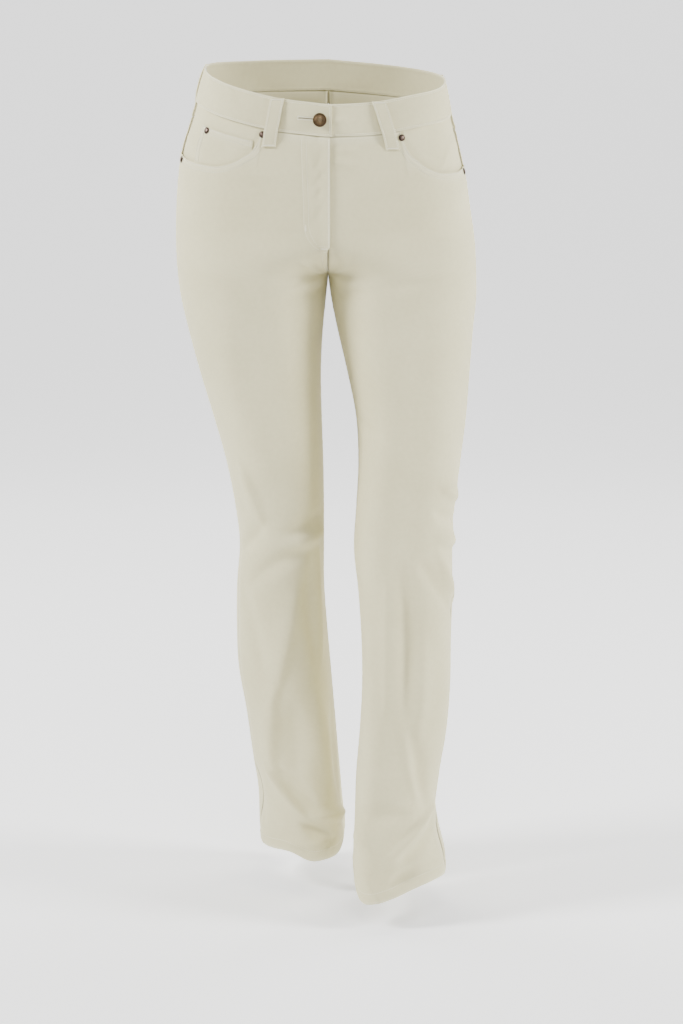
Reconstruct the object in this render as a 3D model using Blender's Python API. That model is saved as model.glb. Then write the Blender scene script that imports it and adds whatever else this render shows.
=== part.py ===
"""Five-pocket bootcut moleskin trousers, in the form they take when worn, with no wearer.

Metres, +Z up, the front faces -Y. Right and left are the wearer's, so the right leg is at -X.
The origin is the middle of the waist, where the wearer holds the trousers up.
Every piece of cloth lies on one outer face, found from a few tables of sections.
"""

import math
from collections import namedtuple

import bmesh
import bpy
import numpy as np

# Thicknesses and clearances
CLOTH = 0.0012
SEAM_GAP = 0.0003

# Waist and rise
BAND_HEIGHT = 0.042
BAND_PROUD = 0.0010
BAND_THICK = 0.0024
CROTCH_Z = -0.268
FRONT_FORK = 0.066
BACK_FORK = 0.160

# Legs
HEM_Z = -1.065
HEM_DEPTH = 0.018
HEM_THICK = 0.0024

# Fly: the right front laps over the left front
LAP = 0.003
LAP_LIFT = 0.0021
LAP_FULL_Z = -0.232
LAP_START_Z = -0.262
FLY_BOTTOM_Z = -0.225
FLY_WIDTH = 0.032
BAND_LAP = 0.005
BAND_LAP_LIFT = 0.0014
BAND_UNDERLAP_LIFT = -0.0019
BAND_LAP_FADE = 0.075

# Front pockets
FACING_LIFT = -0.0028
FACING_ABOVE = 0.007
FACING_BELOW = 0.018
FACING_PAST_SIDE = 0.006
COIN_LIFT = 0.0012
COIN_THICK = 0.0008
COIN_BELOW_BAND = 0.018
COIN_BELOW_MOUTH = 0.013

# Back pieces
YOKE_AT_SIDE = 0.024
YOKE_AT_BACK = 0.062
PATCH_WIDTH = 0.138
PATCH_HEIGHT = 0.142
PATCH_POINT = 0.020
PATCH_TAPER = 0.007
PATCH_FROM_BACK = 0.038
PATCH_BELOW_YOKE = 0.024
PATCH_LIFT = 0.0021
PATCH_THICK = 0.0011

# Belt loops
LOOP_WIDTH = 0.018
LOOP_THICK = 0.0018

# Metal
BUTTON_FROM_CENTRE = 0.010
BUTTON_BELOW_TOP = 0.0205
METAL_LIFT = 0.0004
BUTTON_STEPS = 20
RIVET_STEPS = 12

RIGHT, LEFT = -1, 1

# The seat, from the waist to the crotch: how far the cloth reaches at each height.
Seat = namedtuple("Seat", "z right left front mid back")
SEAT = [
    Seat(0.030, 0.156, 0.149, -0.097, 0.004, 0.094),
    Seat(-0.020, 0.171, 0.158, -0.102, 0.004, 0.104),
    Seat(-0.060, 0.182, 0.166, -0.107, 0.004, 0.116),
    Seat(-0.100, 0.195, 0.176, -0.110, 0.005, 0.130),
    Seat(-0.140, 0.201, 0.185, -0.111, 0.007, 0.143),
    Seat(-0.180, 0.204, 0.191, -0.111, 0.009, 0.150),
    Seat(-0.220, 0.205, 0.197, -0.110, 0.011, 0.150),
    Seat(-0.268, 0.203, 0.200, -0.107, 0.014, 0.139),
]

# The legs, below the crotch. crease is how far the foremost line lies towards the inside leg,
# outseam and inseam how far each seam lies forward of the outermost and innermost line.
Leg = namedtuple("Leg", "z outer inner front mid back crease outseam inseam")
RIGHT_LEG = [
    Leg(-0.300, -0.199, -0.003, -0.105, 0.015, 0.120, 0.000, 0.012, 0.000),
    Leg(-0.340, -0.190, -0.007, -0.103, 0.013, 0.104, 0.000, 0.014, 0.000),
    Leg(-0.400, -0.174, -0.010, -0.101, 0.008, 0.092, 0.002, 0.017, 0.000),
    Leg(-0.460, -0.156, -0.009, -0.099, 0.003, 0.084, 0.004, 0.019, 0.000),
    Leg(-0.520, -0.139, -0.007, -0.097, -0.003, 0.075, 0.006, 0.020, 0.001),
    Leg(-0.580, -0.127, -0.006, -0.095, -0.008, 0.067, 0.008, 0.020, 0.002),
    Leg(-0.630, -0.121, -0.006, -0.092, -0.010, 0.063, 0.009, 0.020, 0.003),
    Leg(-0.690, -0.125, -0.006, -0.087, -0.008, 0.066, 0.010, 0.021, 0.004),
    Leg(-0.750, -0.126, -0.002, -0.083, -0.003, 0.073, 0.012, 0.023, 0.004),
    Leg(-0.810, -0.124, 0.003, -0.079, 0.002, 0.081, 0.014, 0.024, 0.004),
    Leg(-0.870, -0.114, 0.008, -0.076, 0.007, 0.088, 0.016, 0.022, 0.004),
    Leg(-0.930, -0.106, 0.013, -0.073, 0.011, 0.093, 0.018, 0.020, 0.004),
    Leg(-0.990, -0.098, 0.018, -0.071, 0.014, 0.098, 0.019, 0.022, 0.004),
    Leg(-1.040, -0.096, 0.022, -0.070, 0.017, 0.102, 0.020, 0.018, 0.004),
    Leg(-1.085, -0.091, 0.019, -0.070, 0.018, 0.105, 0.020, 0.012, 0.004),
]
LEFT_LEG = [
    Leg(-0.300, 0.200, 0.004, -0.108, 0.010, 0.118, 0.000, 0.006, 0.001),
    Leg(-0.340, 0.196, 0.012, -0.109, 0.004, 0.103, 0.000, 0.006, 0.002),
    Leg(-0.400, 0.191, 0.026, -0.113, -0.006, 0.086, 0.002, 0.006, 0.004),
    Leg(-0.460, 0.186, 0.038, -0.121, -0.020, 0.070, 0.004, 0.007, 0.006),
    Leg(-0.520, 0.178, 0.041, -0.131, -0.036, 0.051, 0.006, 0.008, 0.007),
    Leg(-0.580, 0.170, 0.038, -0.143, -0.054, 0.030, 0.008, 0.010, 0.007),
    Leg(-0.630, 0.167, 0.035, -0.153, -0.067, 0.014, 0.010, 0.012, 0.006),
    Leg(-0.690, 0.167, 0.041, -0.166, -0.081, 0.003, 0.012, 0.016, 0.005),
    Leg(-0.750, 0.165, 0.045, -0.179, -0.095, -0.010, 0.014, 0.019, 0.005),
    Leg(-0.810, 0.164, 0.046, -0.192, -0.106, -0.021, 0.016, 0.021, 0.005),
    Leg(-0.870, 0.159, 0.043, -0.203, -0.116, -0.032, 0.018, 0.022, 0.005),
    Leg(-0.930, 0.149, 0.038, -0.213, -0.125, -0.040, 0.020, 0.022, 0.005),
    Leg(-0.990, 0.144, 0.036, -0.221, -0.133, -0.046, 0.022, 0.024, 0.005),
    Leg(-1.040, 0.155, 0.034, -0.227, -0.138, -0.050, 0.024, 0.014, 0.005),
    Leg(-1.085, 0.159, 0.035, -0.230, -0.141, -0.053, 0.024, 0.006, 0.005),
]

# The top edge of the waistband. place runs round each half, from the centre front to the centre back.
WaistEdge = namedtuple("WaistEdge", "place right left")
WAIST_EDGE = [
    WaistEdge(0.00, -0.040, -0.040),
    WaistEdge(0.14, -0.032, -0.037),
    WaistEdge(0.27, -0.019, -0.028),
    WaistEdge(0.38, -0.006, -0.021),
    WaistEdge(0.50, 0.007, -0.010),
    WaistEdge(0.75, 0.014, 0.006),
    WaistEdge(1.00, 0.016, 0.016),
]

# How far each hem rises above its level, round the leg from the inseam.
HemEdge = namedtuple("HemEdge", "place right left")
HEM_EDGE = [
    HemEdge(0.00, 0.026, 0.009),
    HemEdge(0.07, 0.009, 0.001),
    HemEdge(0.14, -0.002, -0.016),
    HemEdge(0.20, -0.005, -0.016),
    HemEdge(0.31, 0.007, -0.001),
    HemEdge(0.42, 0.003, 0.005),
    HemEdge(0.50, 0.001, 0.003),
    HemEdge(0.75, -0.008, -0.006),
    HemEdge(0.93, 0.010, 0.003),
    HemEdge(1.00, 0.026, 0.009),
]

# How far below the waistband the pocket's mouth lies, from its inner corner to the side.
Mouth = namedtuple("Mouth", "share drop")
MOUTH = [
    Mouth(0.00, 0.0000),
    Mouth(0.04, 0.0200),
    Mouth(0.16, 0.0430),
    Mouth(0.34, 0.0600),
    Mouth(0.55, 0.0660),
    Mouth(1.00, 0.0690),
]
MOUTH_CORNER = {RIGHT: 0.085, LEFT: 0.096}
MOUTH_COLUMNS = [0.0, 0.03, 0.07, 0.14, 0.24, 0.36, 0.47, 0.58, 0.72, 0.86, 1.0]
COIN_COLUMNS = (2, 7)
FRONT_COLUMNS = 5
BACK_COLUMNS = 12

# What lies beneath the lap: how far past the centre each column is, and how far out.
Under = namedtuple("Under", "distance lift")
FLY_UNDERLAP = [Under(-0.028, -0.0030), Under(-0.019, -0.0022), Under(-0.010, -0.0013)]
BAND_UNDERLAP = [-0.010, -0.022, -0.034]

# A belt loop's path, from its top down, and how far its inner side stands off.
Stand = namedtuple("Stand", "share lift")
LOOP_PATH = [
    Stand(0.00, 0.0015),
    Stand(0.10, 0.0032),
    Stand(0.28, 0.0052),
    Stand(0.50, 0.0056),
    Stand(0.70, 0.0048),
    Stand(0.86, 0.0024),
    Stand(0.94, 0.0008),
    Stand(1.00, 0.0005),
]
Loop = namedtuple("Loop", "name half place length")
LOOPS = [
    Loop("belt_loop_front_right", RIGHT, 0.147, 0.063),
    Loop("belt_loop_front_left", LEFT, 0.166, 0.063),
    Loop("belt_loop_side_right", RIGHT, 0.560, 0.060),
    Loop("belt_loop_side_left", LEFT, 0.590, 0.060),
    Loop("belt_loop_back", RIGHT, 1.000, 0.060),
]

# Outlines of the turned metal pieces, from the middle of the underside to the top.
Turned = namedtuple("Turned", "radius height")
BUTTON = [
    Turned(0.0034, 0.0000),
    Turned(0.0030, 0.0012),
    Turned(0.0032, 0.0026),
    Turned(0.0084, 0.0031),
    Turned(0.0092, 0.0038),
    Turned(0.0089, 0.0046),
    Turned(0.0078, 0.0050),
    Turned(0.0068, 0.0047),
    Turned(0.0040, 0.0055),
]
RIVET = [
    Turned(0.0044, 0.0000),
    Turned(0.0046, 0.0006),
    Turned(0.0038, 0.0014),
    Turned(0.0020, 0.0018),
]
Rivet = namedtuple("Rivet", "name half share below lift")
RIVETS = [
    Rivet("rivet_inner_right", RIGHT, 0.000, 0.008, 0.0),
    Rivet("rivet_side_right", RIGHT, 0.860, 0.074, 0.0),
    Rivet("rivet_inner_left", LEFT, 0.005, 0.009, 0.0),
    Rivet("rivet_side_left", LEFT, 0.860, 0.074, 0.0),
    Rivet("rivet_coin", RIGHT, 0.555, 0.023, FACING_LIFT + COIN_LIFT),
]

# Soft folds. Each runs from one place and height to another on a half, place being 0 at the inner
# front, 0.5 at the side and 1 at the inner back. height is how far it stands out, or in below 0.
Fold = namedtuple("Fold", "half place z end_place end_z width height")
FOLDS = [
    Fold(RIGHT, 0.06, -0.250, 0.20, -0.262, 0.009, 0.0030),
    Fold(RIGHT, 0.10, -0.640, 0.30, -0.655, 0.022, -0.0045),
    Fold(RIGHT, 0.08, -0.615, 0.22, -0.600, 0.020, 0.0040),
    Fold(RIGHT, 0.33, -0.560, 0.42, -0.690, 0.022, 0.0050),
    Fold(RIGHT, 0.36, -0.760, 0.24, -0.960, 0.024, 0.0050),
    Fold(RIGHT, 0.20, -0.700, 0.18, -0.960, 0.022, -0.0040),
    Fold(RIGHT, 0.36, -0.950, 0.20, -1.010, 0.013, 0.0065),
    Fold(RIGHT, 0.22, -1.032, 0.11, -1.045, 0.012, -0.0080),
    Fold(RIGHT, 0.46, -0.930, 0.42, -1.030, 0.014, -0.0040),
    Fold(RIGHT, 0.62, -0.560, 0.88, -0.600, 0.018, 0.0055),
    Fold(RIGHT, 0.60, -0.600, 0.90, -0.640, 0.016, -0.0055),
    Fold(RIGHT, 0.64, -0.650, 0.86, -0.675, 0.018, 0.0050),
    Fold(RIGHT, 0.70, -0.300, 0.96, -0.330, 0.018, -0.0045),
    Fold(RIGHT, 0.72, -0.330, 0.94, -0.372, 0.018, 0.0040),
    Fold(RIGHT, 0.66, -1.000, 0.84, -1.035, 0.018, -0.0050),
    Fold(RIGHT, 0.74, -0.740, 0.70, -0.960, 0.030, 0.0050),
    Fold(LEFT, 0.06, -0.250, 0.20, -0.260, 0.009, 0.0025),
    Fold(LEFT, 0.30, -0.700, 0.26, -0.960, 0.020, -0.0060),
    Fold(LEFT, 0.18, -0.700, 0.18, -0.980, 0.024, 0.0050),
    Fold(LEFT, 0.42, -0.630, 0.30, -0.790, 0.018, -0.0060),
    Fold(LEFT, 0.44, -0.570, 0.40, -0.680, 0.016, 0.0050),
    Fold(LEFT, 0.46, -0.960, 0.22, -1.035, 0.014, 0.0055),
    Fold(LEFT, 0.42, -0.975, 0.16, -0.985, 0.018, -0.0050),
    Fold(LEFT, 0.28, -1.045, 0.20, -1.055, 0.014, -0.0060),
    Fold(LEFT, 0.60, -0.560, 0.88, -0.610, 0.018, 0.0060),
    Fold(LEFT, 0.58, -0.600, 0.88, -0.650, 0.016, -0.0055),
    Fold(LEFT, 0.62, -0.650, 0.86, -0.690, 0.020, 0.0050),
    Fold(LEFT, 0.70, -0.300, 0.96, -0.330, 0.018, -0.0045),
    Fold(LEFT, 0.72, -0.330, 0.94, -0.374, 0.018, 0.0045),
    Fold(LEFT, 0.72, -0.980, 0.86, -1.020, 0.018, -0.0050),
]

ROUND_SEAT = 0.10
ROUND_LEG = 0.05
SECTION_STEPS = 40
SLOPE_STEP = 0.0015
ZERO = 1e-9
SHARP_ANGLE = 50


class Curves:
    """The columns of a table of named rows, as smooth curves over its first column."""

    def __init__(self, rows):
        rows = sorted(rows, key=lambda row: row[0])
        self.names = rows[0]._fields
        self.knots = np.array([row[0] for row in rows])
        self.values = {n: np.array([getattr(row, n) for row in rows]) for n in self.names[1:]}

    def at(self, name, x):
        """The named column at x, as a cubic through its rows."""
        knots, values = self.knots, self.values[name]
        slopes = np.gradient(values, knots)
        x = np.clip(x, knots[0], knots[-1])
        i = np.clip(np.searchsorted(knots, x) - 1, 0, len(knots) - 2)
        span = knots[i + 1] - knots[i]
        t = (x - knots[i]) / span
        start = (1 + 2 * t) * (1 - t) ** 2 * values[i] + t * (1 - t) ** 2 * span * slopes[i]
        end = t**2 * (3 - 2 * t) * values[i + 1] + t**2 * (t - 1) * span * slopes[i + 1]
        return start + end


def smooth(x, low, high):
    """A soft step from 0 at low to 1 at high."""
    t = np.clip((x - low) / (high - low), 0.0, 1.0)
    return t * t * (3 - 2 * t)


class Half:
    """The outer face of one half of the trousers, over a distance round it and a height.

    The distance starts at the centre front above the crotch, and at the innermost line of the
    leg below it, and runs over the front to the side and on round the back.
    """

    def __init__(self, sign, legs):
        self.sign = sign
        rows = [self.seat_row(row) for row in SEAT] + [self.leg_row(row) for row in legs]
        self.rings = Curves(rows)
        seams = [Leg(row.z, 0, 0, 0, 0, 0, 0, 0.006, 0.0) for row in SEAT] + list(legs)
        self.seams = Curves(seams)
        self.folds = [fold for fold in FOLDS if fold.half == sign]

    def seat_row(self, row):
        outer = row.right if self.sign == RIGHT else row.left
        return Leg(row.z, outer, 0.0, row.front, row.mid, row.back, 0.0, 0.0, 0.0)

    def leg_row(self, row):
        return row._replace(outer=row.outer * self.sign, inner=row.inner * self.sign)

    def section(self, z):
        """Centre and half width of the front and back parts, and the angles where they end."""
        ring = {n: self.rings.at(n, z) for n in ("outer", "inner", "front", "mid", "back", "crease")}
        above = z > CROTCH_Z
        square = ROUND_LEG + (ROUND_SEAT - ROUND_LEG) * smooth(z, CROTCH_Z, CROTCH_Z + BACK_FORK)
        parts = []
        for height in (FRONT_FORK, BACK_FORK):
            up = np.clip((z - CROTCH_Z) / height, 0.0, 1.0)
            fork = (1 - up**1.5) ** 2
            half = np.where(above, ring["outer"] / (1 + fork), (ring["outer"] - ring["inner"]) / 2)
            centre = np.where(above, fork * half, (ring["outer"] + ring["inner"]) / 2)
            cosine = -fork
            for _ in range(4):
                miss = cosine * (1 + square * (1 - cosine**2)) + fork
                cosine = cosine - miss / (1 + square * (1 - 3 * cosine**2))
            end = np.where(above, np.arccos(np.clip(cosine, -1, 1)), math.pi)
            parts.append((half, centre, end))
        return ring, square, parts

    def on_section(self, made, turn):
        """Points in plan for turn from -1, the inner front, over 0, the side, to 1, the inner back."""
        ring, square, ((half_f, centre_f, end_f), (half_b, centre_b, end_b)) = made
        shape = (-1,) + (1,) * (turn.ndim - 1)
        front = turn < 0

        def pick(a, b):
            return np.where(front, a.reshape(shape), b.reshape(shape))

        angle = turn * pick(end_f, end_b)
        half, centre = pick(half_f, half_b), pick(centre_f, centre_b)
        depth = pick(ring["mid"] - ring["front"], ring["back"] - ring["mid"])
        cosine, sine, bulge = np.cos(angle), np.sin(angle), square.reshape(shape)
        x = centre + half * cosine * (1 + bulge * sine**2)
        x = x - np.where(front, ring["crease"].reshape(shape) * sine**2, 0.0)
        y = ring["mid"].reshape(shape) + depth * sine * (1 + bulge * cosine**2)
        return x, y

    def lengths(self, z):
        """Sections at each height, with the running distance along each."""
        made = self.section(z)
        turn = np.linspace(-1, 1, 2 * SECTION_STEPS + 1)
        x, y = self.on_section(made, np.tile(turn, (len(z), 1)))
        along = np.cumsum(np.hypot(np.diff(x, axis=1), np.diff(y, axis=1)), axis=1)
        return made, turn, np.hstack([np.zeros((len(z), 1)), along])

    def round_length(self, z):
        """The distance to the side, and the whole distance round, at each height."""
        _, _, along = self.lengths(z)
        return along[:, SECTION_STEPS], along[:, -1]

    def plain_point(self, distance, z):
        made, turn, along = self.lengths(z)
        distance = np.clip(distance, 0.0, along[:, -1])
        last = along.shape[1] - 2
        i = np.clip((along <= distance[:, None]).sum(axis=1) - 1, 0, last)
        rows = np.arange(len(z))
        span = np.maximum(along[rows, i + 1] - along[rows, i], ZERO)
        share = (distance - along[rows, i]) / span
        x, y = self.on_section(made, turn[i] + share * (turn[i + 1] - turn[i]))
        return np.stack([self.sign * (x + SEAM_GAP / 2), y, z], axis=1)

    def fold_height(self, distance, z):
        """How far the folds move the face out at each place."""
        _, whole = self.round_length(z)
        total = np.zeros(len(z))
        for fold in self.folds:
            start = np.stack([fold.place * whole, np.full(len(z), fold.z)], axis=1)
            end = np.stack([fold.end_place * whole, np.full(len(z), fold.end_z)], axis=1)
            run = end - start
            here = np.stack([distance, z], axis=1) - start
            share = (here * run).sum(axis=1) / (run * run).sum(axis=1)
            off = np.linalg.norm(here - np.clip(share, 0, 1)[:, None] * run, axis=1)
            fade = 0.35 + 0.65 * np.sin(math.pi * np.clip(share, 0, 1)) ** 0.8
            total += fold.height * fade * np.exp(-((off / fold.width) ** 2))
        return total


HALVES = {RIGHT: Half(RIGHT, RIGHT_LEG), LEFT: Half(LEFT, LEFT_LEG)}


def across(half, distance, z):
    """The half, and the distance on it, that a point past the end of a half lies on."""
    _, whole = HALVES[half].round_length(z)
    _, other = HALVES[-half].round_length(z)
    above = z > CROTCH_Z
    before, after = distance < 0, distance > whole
    swap = above & (before | after)
    folded = np.where(before, -distance, other - (distance - whole))
    wrapped = np.where(before, distance + whole, np.where(after, distance - whole, distance))
    return swap, np.where(swap, folded, wrapped)


def base(half, distance, z, method="plain_point"):
    """The face, or its folds, at distances that may run past the ends of a half."""
    swap, distance = across(half, distance, z)
    here = getattr(HALVES[half], method)(distance, z)
    there = getattr(HALVES[-half], method)(distance, z)
    return np.where(swap.reshape((-1,) + (1,) * (here.ndim - 1)), there, here)


def normal(half, distance, z):
    """The outward direction of the face without its folds."""
    round_it = base(half, distance + SLOPE_STEP, z) - base(half, distance - SLOPE_STEP, z)
    up_it = base(half, distance, z + SLOPE_STEP) - base(half, distance, z - SLOPE_STEP)
    found = np.cross(round_it, up_it) * half
    return found / np.linalg.norm(found, axis=1)[:, None]


def place(half, distance, z, lift=0.0):
    """Points on the cloth's outer face, moved out by lift. The arrays may have any shape."""
    distance, z, lift = np.broadcast_arrays(np.asarray(distance, float), z, lift)
    d, h = distance.ravel(), z.ravel().astype(float)
    out = base(half, d, h, "fold_height") + lift.ravel()
    points = base(half, d, h) + out[:, None] * normal(half, d, h)
    own = (d >= 0) & (h > CROTCH_Z + CLOTH) & ~across(half, d, h)[0]
    near = np.maximum(points[:, 0] * half, SEAM_GAP / 2) * half
    points[:, 0] = np.where(own, near, points[:, 0])
    return points.reshape(distance.shape + (3,))


WAIST = Curves(WAIST_EDGE)
HEM = Curves(HEM_EDGE)
MOUTH_CURVE = Curves(MOUTH)


def side_name(half):
    return "right" if half == RIGHT else "left"


def whole(half, z):
    """The distance round a half at each height, for an array of any shape."""
    return HALVES[half].round_length(np.ravel(z))[1].reshape(np.shape(z))


def outseam(half, z):
    """The distance from the inner front to the outseam at each height."""
    flat = np.ravel(z)
    side = HALVES[half].round_length(flat)[0] - HALVES[half].seams.at("outseam", flat)
    return side.reshape(np.shape(z))


def inseam(half, z):
    """How far the inseam lies forward of the innermost line."""
    return HALVES[half].seams.at("inseam", z)


def waist_z(half, place_round):
    """The height of the waistband's top edge. A place below 0 lies on the other half."""
    here = WAIST.at(side_name(half), np.abs(place_round))
    there = WAIST.at(side_name(-half), np.abs(place_round))
    return np.where(np.less(place_round, 0), there, here)


def band_seam_z(half, place_round):
    """The height of the seam under the waistband."""
    return waist_z(half, place_round) - BAND_HEIGHT


def yoke_seam_z(half, place_round):
    """The height of the seam under the yoke."""
    share = np.clip(2 * place_round - 1, 0, 1)
    return band_seam_z(half, place_round) - YOKE_AT_SIDE - (YOKE_AT_BACK - YOKE_AT_SIDE) * share


def mouth_z(half, place_round, share):
    """The height of the pocket's mouth."""
    return band_seam_z(half, place_round) - MOUTH_CURVE.at("drop", share)


def new_material(name, color, roughness, metallic=0.0):
    material = bpy.data.materials.new(name)
    material.use_nodes = True
    shader = material.node_tree.nodes["Principled BSDF"]
    shader.inputs["Base Color"].default_value = (*color, 1.0)
    shader.inputs["Roughness"].default_value = roughness
    shader.inputs["Metallic"].default_value = metallic
    return material


def finish(name, made, material):
    """Turns a built mesh into a named object, smooth but for its edges."""
    bmesh.ops.recalc_face_normals(made, faces=made.faces)
    mesh = bpy.data.meshes.new(name)
    made.to_mesh(mesh)
    made.free()
    mesh.materials.append(material)
    mesh.shade_smooth()
    mesh.set_sharp_from_angle(angle=math.radians(SHARP_ANGLE))
    piece = bpy.data.objects.new(name, mesh)
    bpy.context.scene.collection.objects.link(piece)


def wall(name, outer, inner, material, kept=None):
    """A closed wall between two grids of points, over the cells kept, with rims round its edges.

    Both skins are cut along the same diagonal of each cell, which keeps them apart.
    """
    rows, columns, _ = outer.shape
    if kept is None:
        kept = np.ones((rows - 1, columns - 1), bool)
    made = bmesh.new()
    corners = {}

    def corner(skin, at):
        if (skin, at) not in corners:
            corners[(skin, at)] = made.verts.new((outer, inner)[skin][at])
        return corners[(skin, at)]

    edges = []
    for r, c in np.argwhere(kept).tolist():
        ring = [(r, c), (r + 1, c), (r + 1, c + 1), (r, c + 1)]
        edges.extend(zip(ring, ring[1:] + ring[:1]))
        falling = np.linalg.norm(outer[ring[0]] - outer[ring[2]])
        rising = np.linalg.norm(outer[ring[1]] - outer[ring[3]])
        if rising < falling:
            ring = ring[1:] + ring[:1]
        for cut in (ring[:3], ring[2:] + ring[:1]):
            made.faces.new([corner(0, at) for at in cut])
            made.faces.new([corner(1, at) for at in reversed(cut)])
    inside = set(edges)
    for a, b in edges:
        if (b, a) not in inside:
            made.faces.new([corner(0, b), corner(0, a), corner(1, a), corner(1, b)])
    finish(name, made, material)


def cloth(name, half, distance, z, lift, thick, material, kept=None):
    """A wall of cloth on the face: its outer points lie at lift, its inner points thick below."""
    outer = place(half, distance, z, lift)
    inner = place(half, distance, z, lift - thick)
    wall(name, outer, inner, material, kept)


def turned(name, outline, centre, axis, steps, material):
    """A solid turned about an axis, standing on a flat underside."""
    axis = axis / np.linalg.norm(axis)
    across_it = np.cross(axis, (0.0, 0.0, 1.0))
    across_it = across_it / np.linalg.norm(across_it)
    up_it = np.cross(axis, across_it)
    made = bmesh.new()
    rings = []
    for point in outline:
        angles = 2 * math.pi * np.arange(steps) / steps
        spokes = np.outer(np.cos(angles), across_it) + np.outer(np.sin(angles), up_it)
        rings.append([made.verts.new(centre + axis * point.height + point.radius * s) for s in spokes])
    for low, high in zip(rings, rings[1:]):
        for i in range(steps):
            j = (i + 1) % steps
            made.faces.new((low[i], low[j], high[j], high[i]))
    made.faces.new(rings[0][::-1])
    made.faces.new(rings[-1])
    finish(name, made, material)


def spread(start, end, steps, ease=1.0):
    """Values from start to end. An ease above 1 crowds them towards the start."""
    return start + (end - start) * np.linspace(0, 1, steps + 1) ** ease


def leg_rows(top):
    """Row heights for a leg panel, from its top seam's level to the hem's."""
    rise = spread(CROTCH_Z, top, 9, 1.7)[::-1]
    thigh = spread(CROTCH_Z, -0.340, 3, 1.5)[1:]
    leg = spread(-0.340, HEM_Z + 0.060, 20)[1:]
    hem = [HEM_Z + 0.038, HEM_Z + HEM_DEPTH + 0.0015, HEM_Z + HEM_DEPTH, HEM_Z]
    return np.concatenate([rise, thigh, leg, hem])


def panel_heights(half, rows, top_z, level, place_round):
    """Each row's height at each column: the first row follows top_z and the last the hem."""
    z = np.repeat(rows[:, None], len(top_z), axis=1)
    top_share = np.clip((rows - LAP_FULL_Z) / (level - LAP_FULL_Z), 0, 1)[:, None]
    hem_share = 1 - smooth(rows, HEM_Z + 0.020, HEM_Z + 0.100)[:, None]
    rise = HEM.at(side_name(half), place_round)
    return z + top_share * (top_z - level)[None, :] + hem_share * rise[None, :]


def hem_thickness(rows):
    """The wall is doubled where the hem is turned up."""
    return np.where(rows <= HEM_Z + HEM_DEPTH + ZERO, HEM_THICK, CLOTH)[:, None]


def front_shares(half):
    """The front's columns, as shares of the way from the inner front to the outseam."""
    side = float(outseam(half, np.array([-0.075]))[0])
    corner = MOUTH_CORNER[half] / side
    mouth = corner + (1 - corner) * np.array(MOUTH_COLUMNS)
    return np.concatenate([spread(0, corner, FRONT_COLUMNS)[:-1], mouth])


def front_distance(half, z):
    """Distances of the front's columns. They are spaced evenly lower down the leg."""
    shares = front_shares(half)
    even = np.linspace(0, 1, len(shares))
    along = even + (shares - even)[None, :] * smooth(z, -0.320, -0.160)
    start = inseam(half, z) + SEAM_GAP / 2
    return start + along * (outseam(half, z) - SEAM_GAP / 2 - start)


def front_places(half):
    """How far round a half each front column lies, under the waistband."""
    level = np.full(1, -0.075)
    return front_shares(half) * outseam(half, level) / whole(half, level)


def front(half, material):
    """A front leg with its pocket's mouth cut away. The fly's lap or underlap is part of it."""
    places = front_places(half)
    seam = band_seam_z(half, places) - SEAM_GAP
    mouth_shares = np.concatenate([np.zeros(FRONT_COLUMNS), MOUTH_COLUMNS])
    top_z = seam - MOUTH_CURVE.at("drop", mouth_shares)
    rows = leg_rows(seam[0])
    z = panel_heights(half, rows, top_z, seam[0], np.linspace(0, 0.5, len(places)))
    distance = front_distance(half, z)
    thick = hem_thickness(rows)
    if half == RIGHT:
        distance[:, 0] -= LAP * (z[:, 0] > FLY_BOTTOM_Z)
        lift = LAP_LIFT * (1 - smooth(distance, 0, FLY_WIDTH)) * smooth(z, LAP_START_Z, LAP_FULL_Z)
        cloth("front_right", half, distance, z, lift, thick, material)
        return
    under = np.array([column.distance for column in FLY_UNDERLAP])
    distance = np.hstack([np.tile(under, (len(rows), 1)), distance])
    z = np.hstack([np.repeat(z[:, :1], len(under), axis=1), z])
    lift = np.zeros_like(z)
    lift[:, : len(under)] = [column.lift for column in FLY_UNDERLAP]
    kept = np.ones((len(rows) - 1, z.shape[1] - 1), bool)
    kept[:, : len(under)] = (z[1:, 0] > FLY_BOTTOM_Z)[:, None]
    cloth("front_left", half, distance, z, lift, thick, material, kept)


def back_distance(half, z, shares):
    """Distances of columns between the outseam and the inseam, over the back."""
    start = outseam(half, z) + SEAM_GAP / 2
    end = whole(half, z) + inseam(half, z) - SEAM_GAP / 2
    return start + shares[None, :] * (end - start)


def back_places(half, shares):
    """How far round a half each back column lies, under the waistband."""
    level = np.full((1, 1), -0.075)
    return (back_distance(half, level, shares) / whole(half, level))[0]


def back(half, material):
    """A back leg, from the yoke to the hem."""
    shares = np.linspace(0, 1, BACK_COLUMNS + 1)
    seam = yoke_seam_z(half, back_places(half, shares)) - SEAM_GAP
    rows = leg_rows(seam[-1])
    z = panel_heights(half, rows, seam, seam[-1], 0.5 + shares / 2)
    distance = back_distance(half, z, shares)
    cloth("back_" + side_name(half), half, distance, z, 0.0, hem_thickness(rows), material)


def yoke(half, material):
    """The shaped piece between the waistband and the back leg."""
    shares = np.linspace(0, 1, BACK_COLUMNS + 1)
    places = back_places(half, shares)
    top = band_seam_z(half, places) - SEAM_GAP
    z = top + spread(0, 1, 3)[:, None] * (yoke_seam_z(half, places) - top)
    cloth("yoke_" + side_name(half), half, back_distance(half, z, shares), z, 0.0, CLOTH, material)


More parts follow.
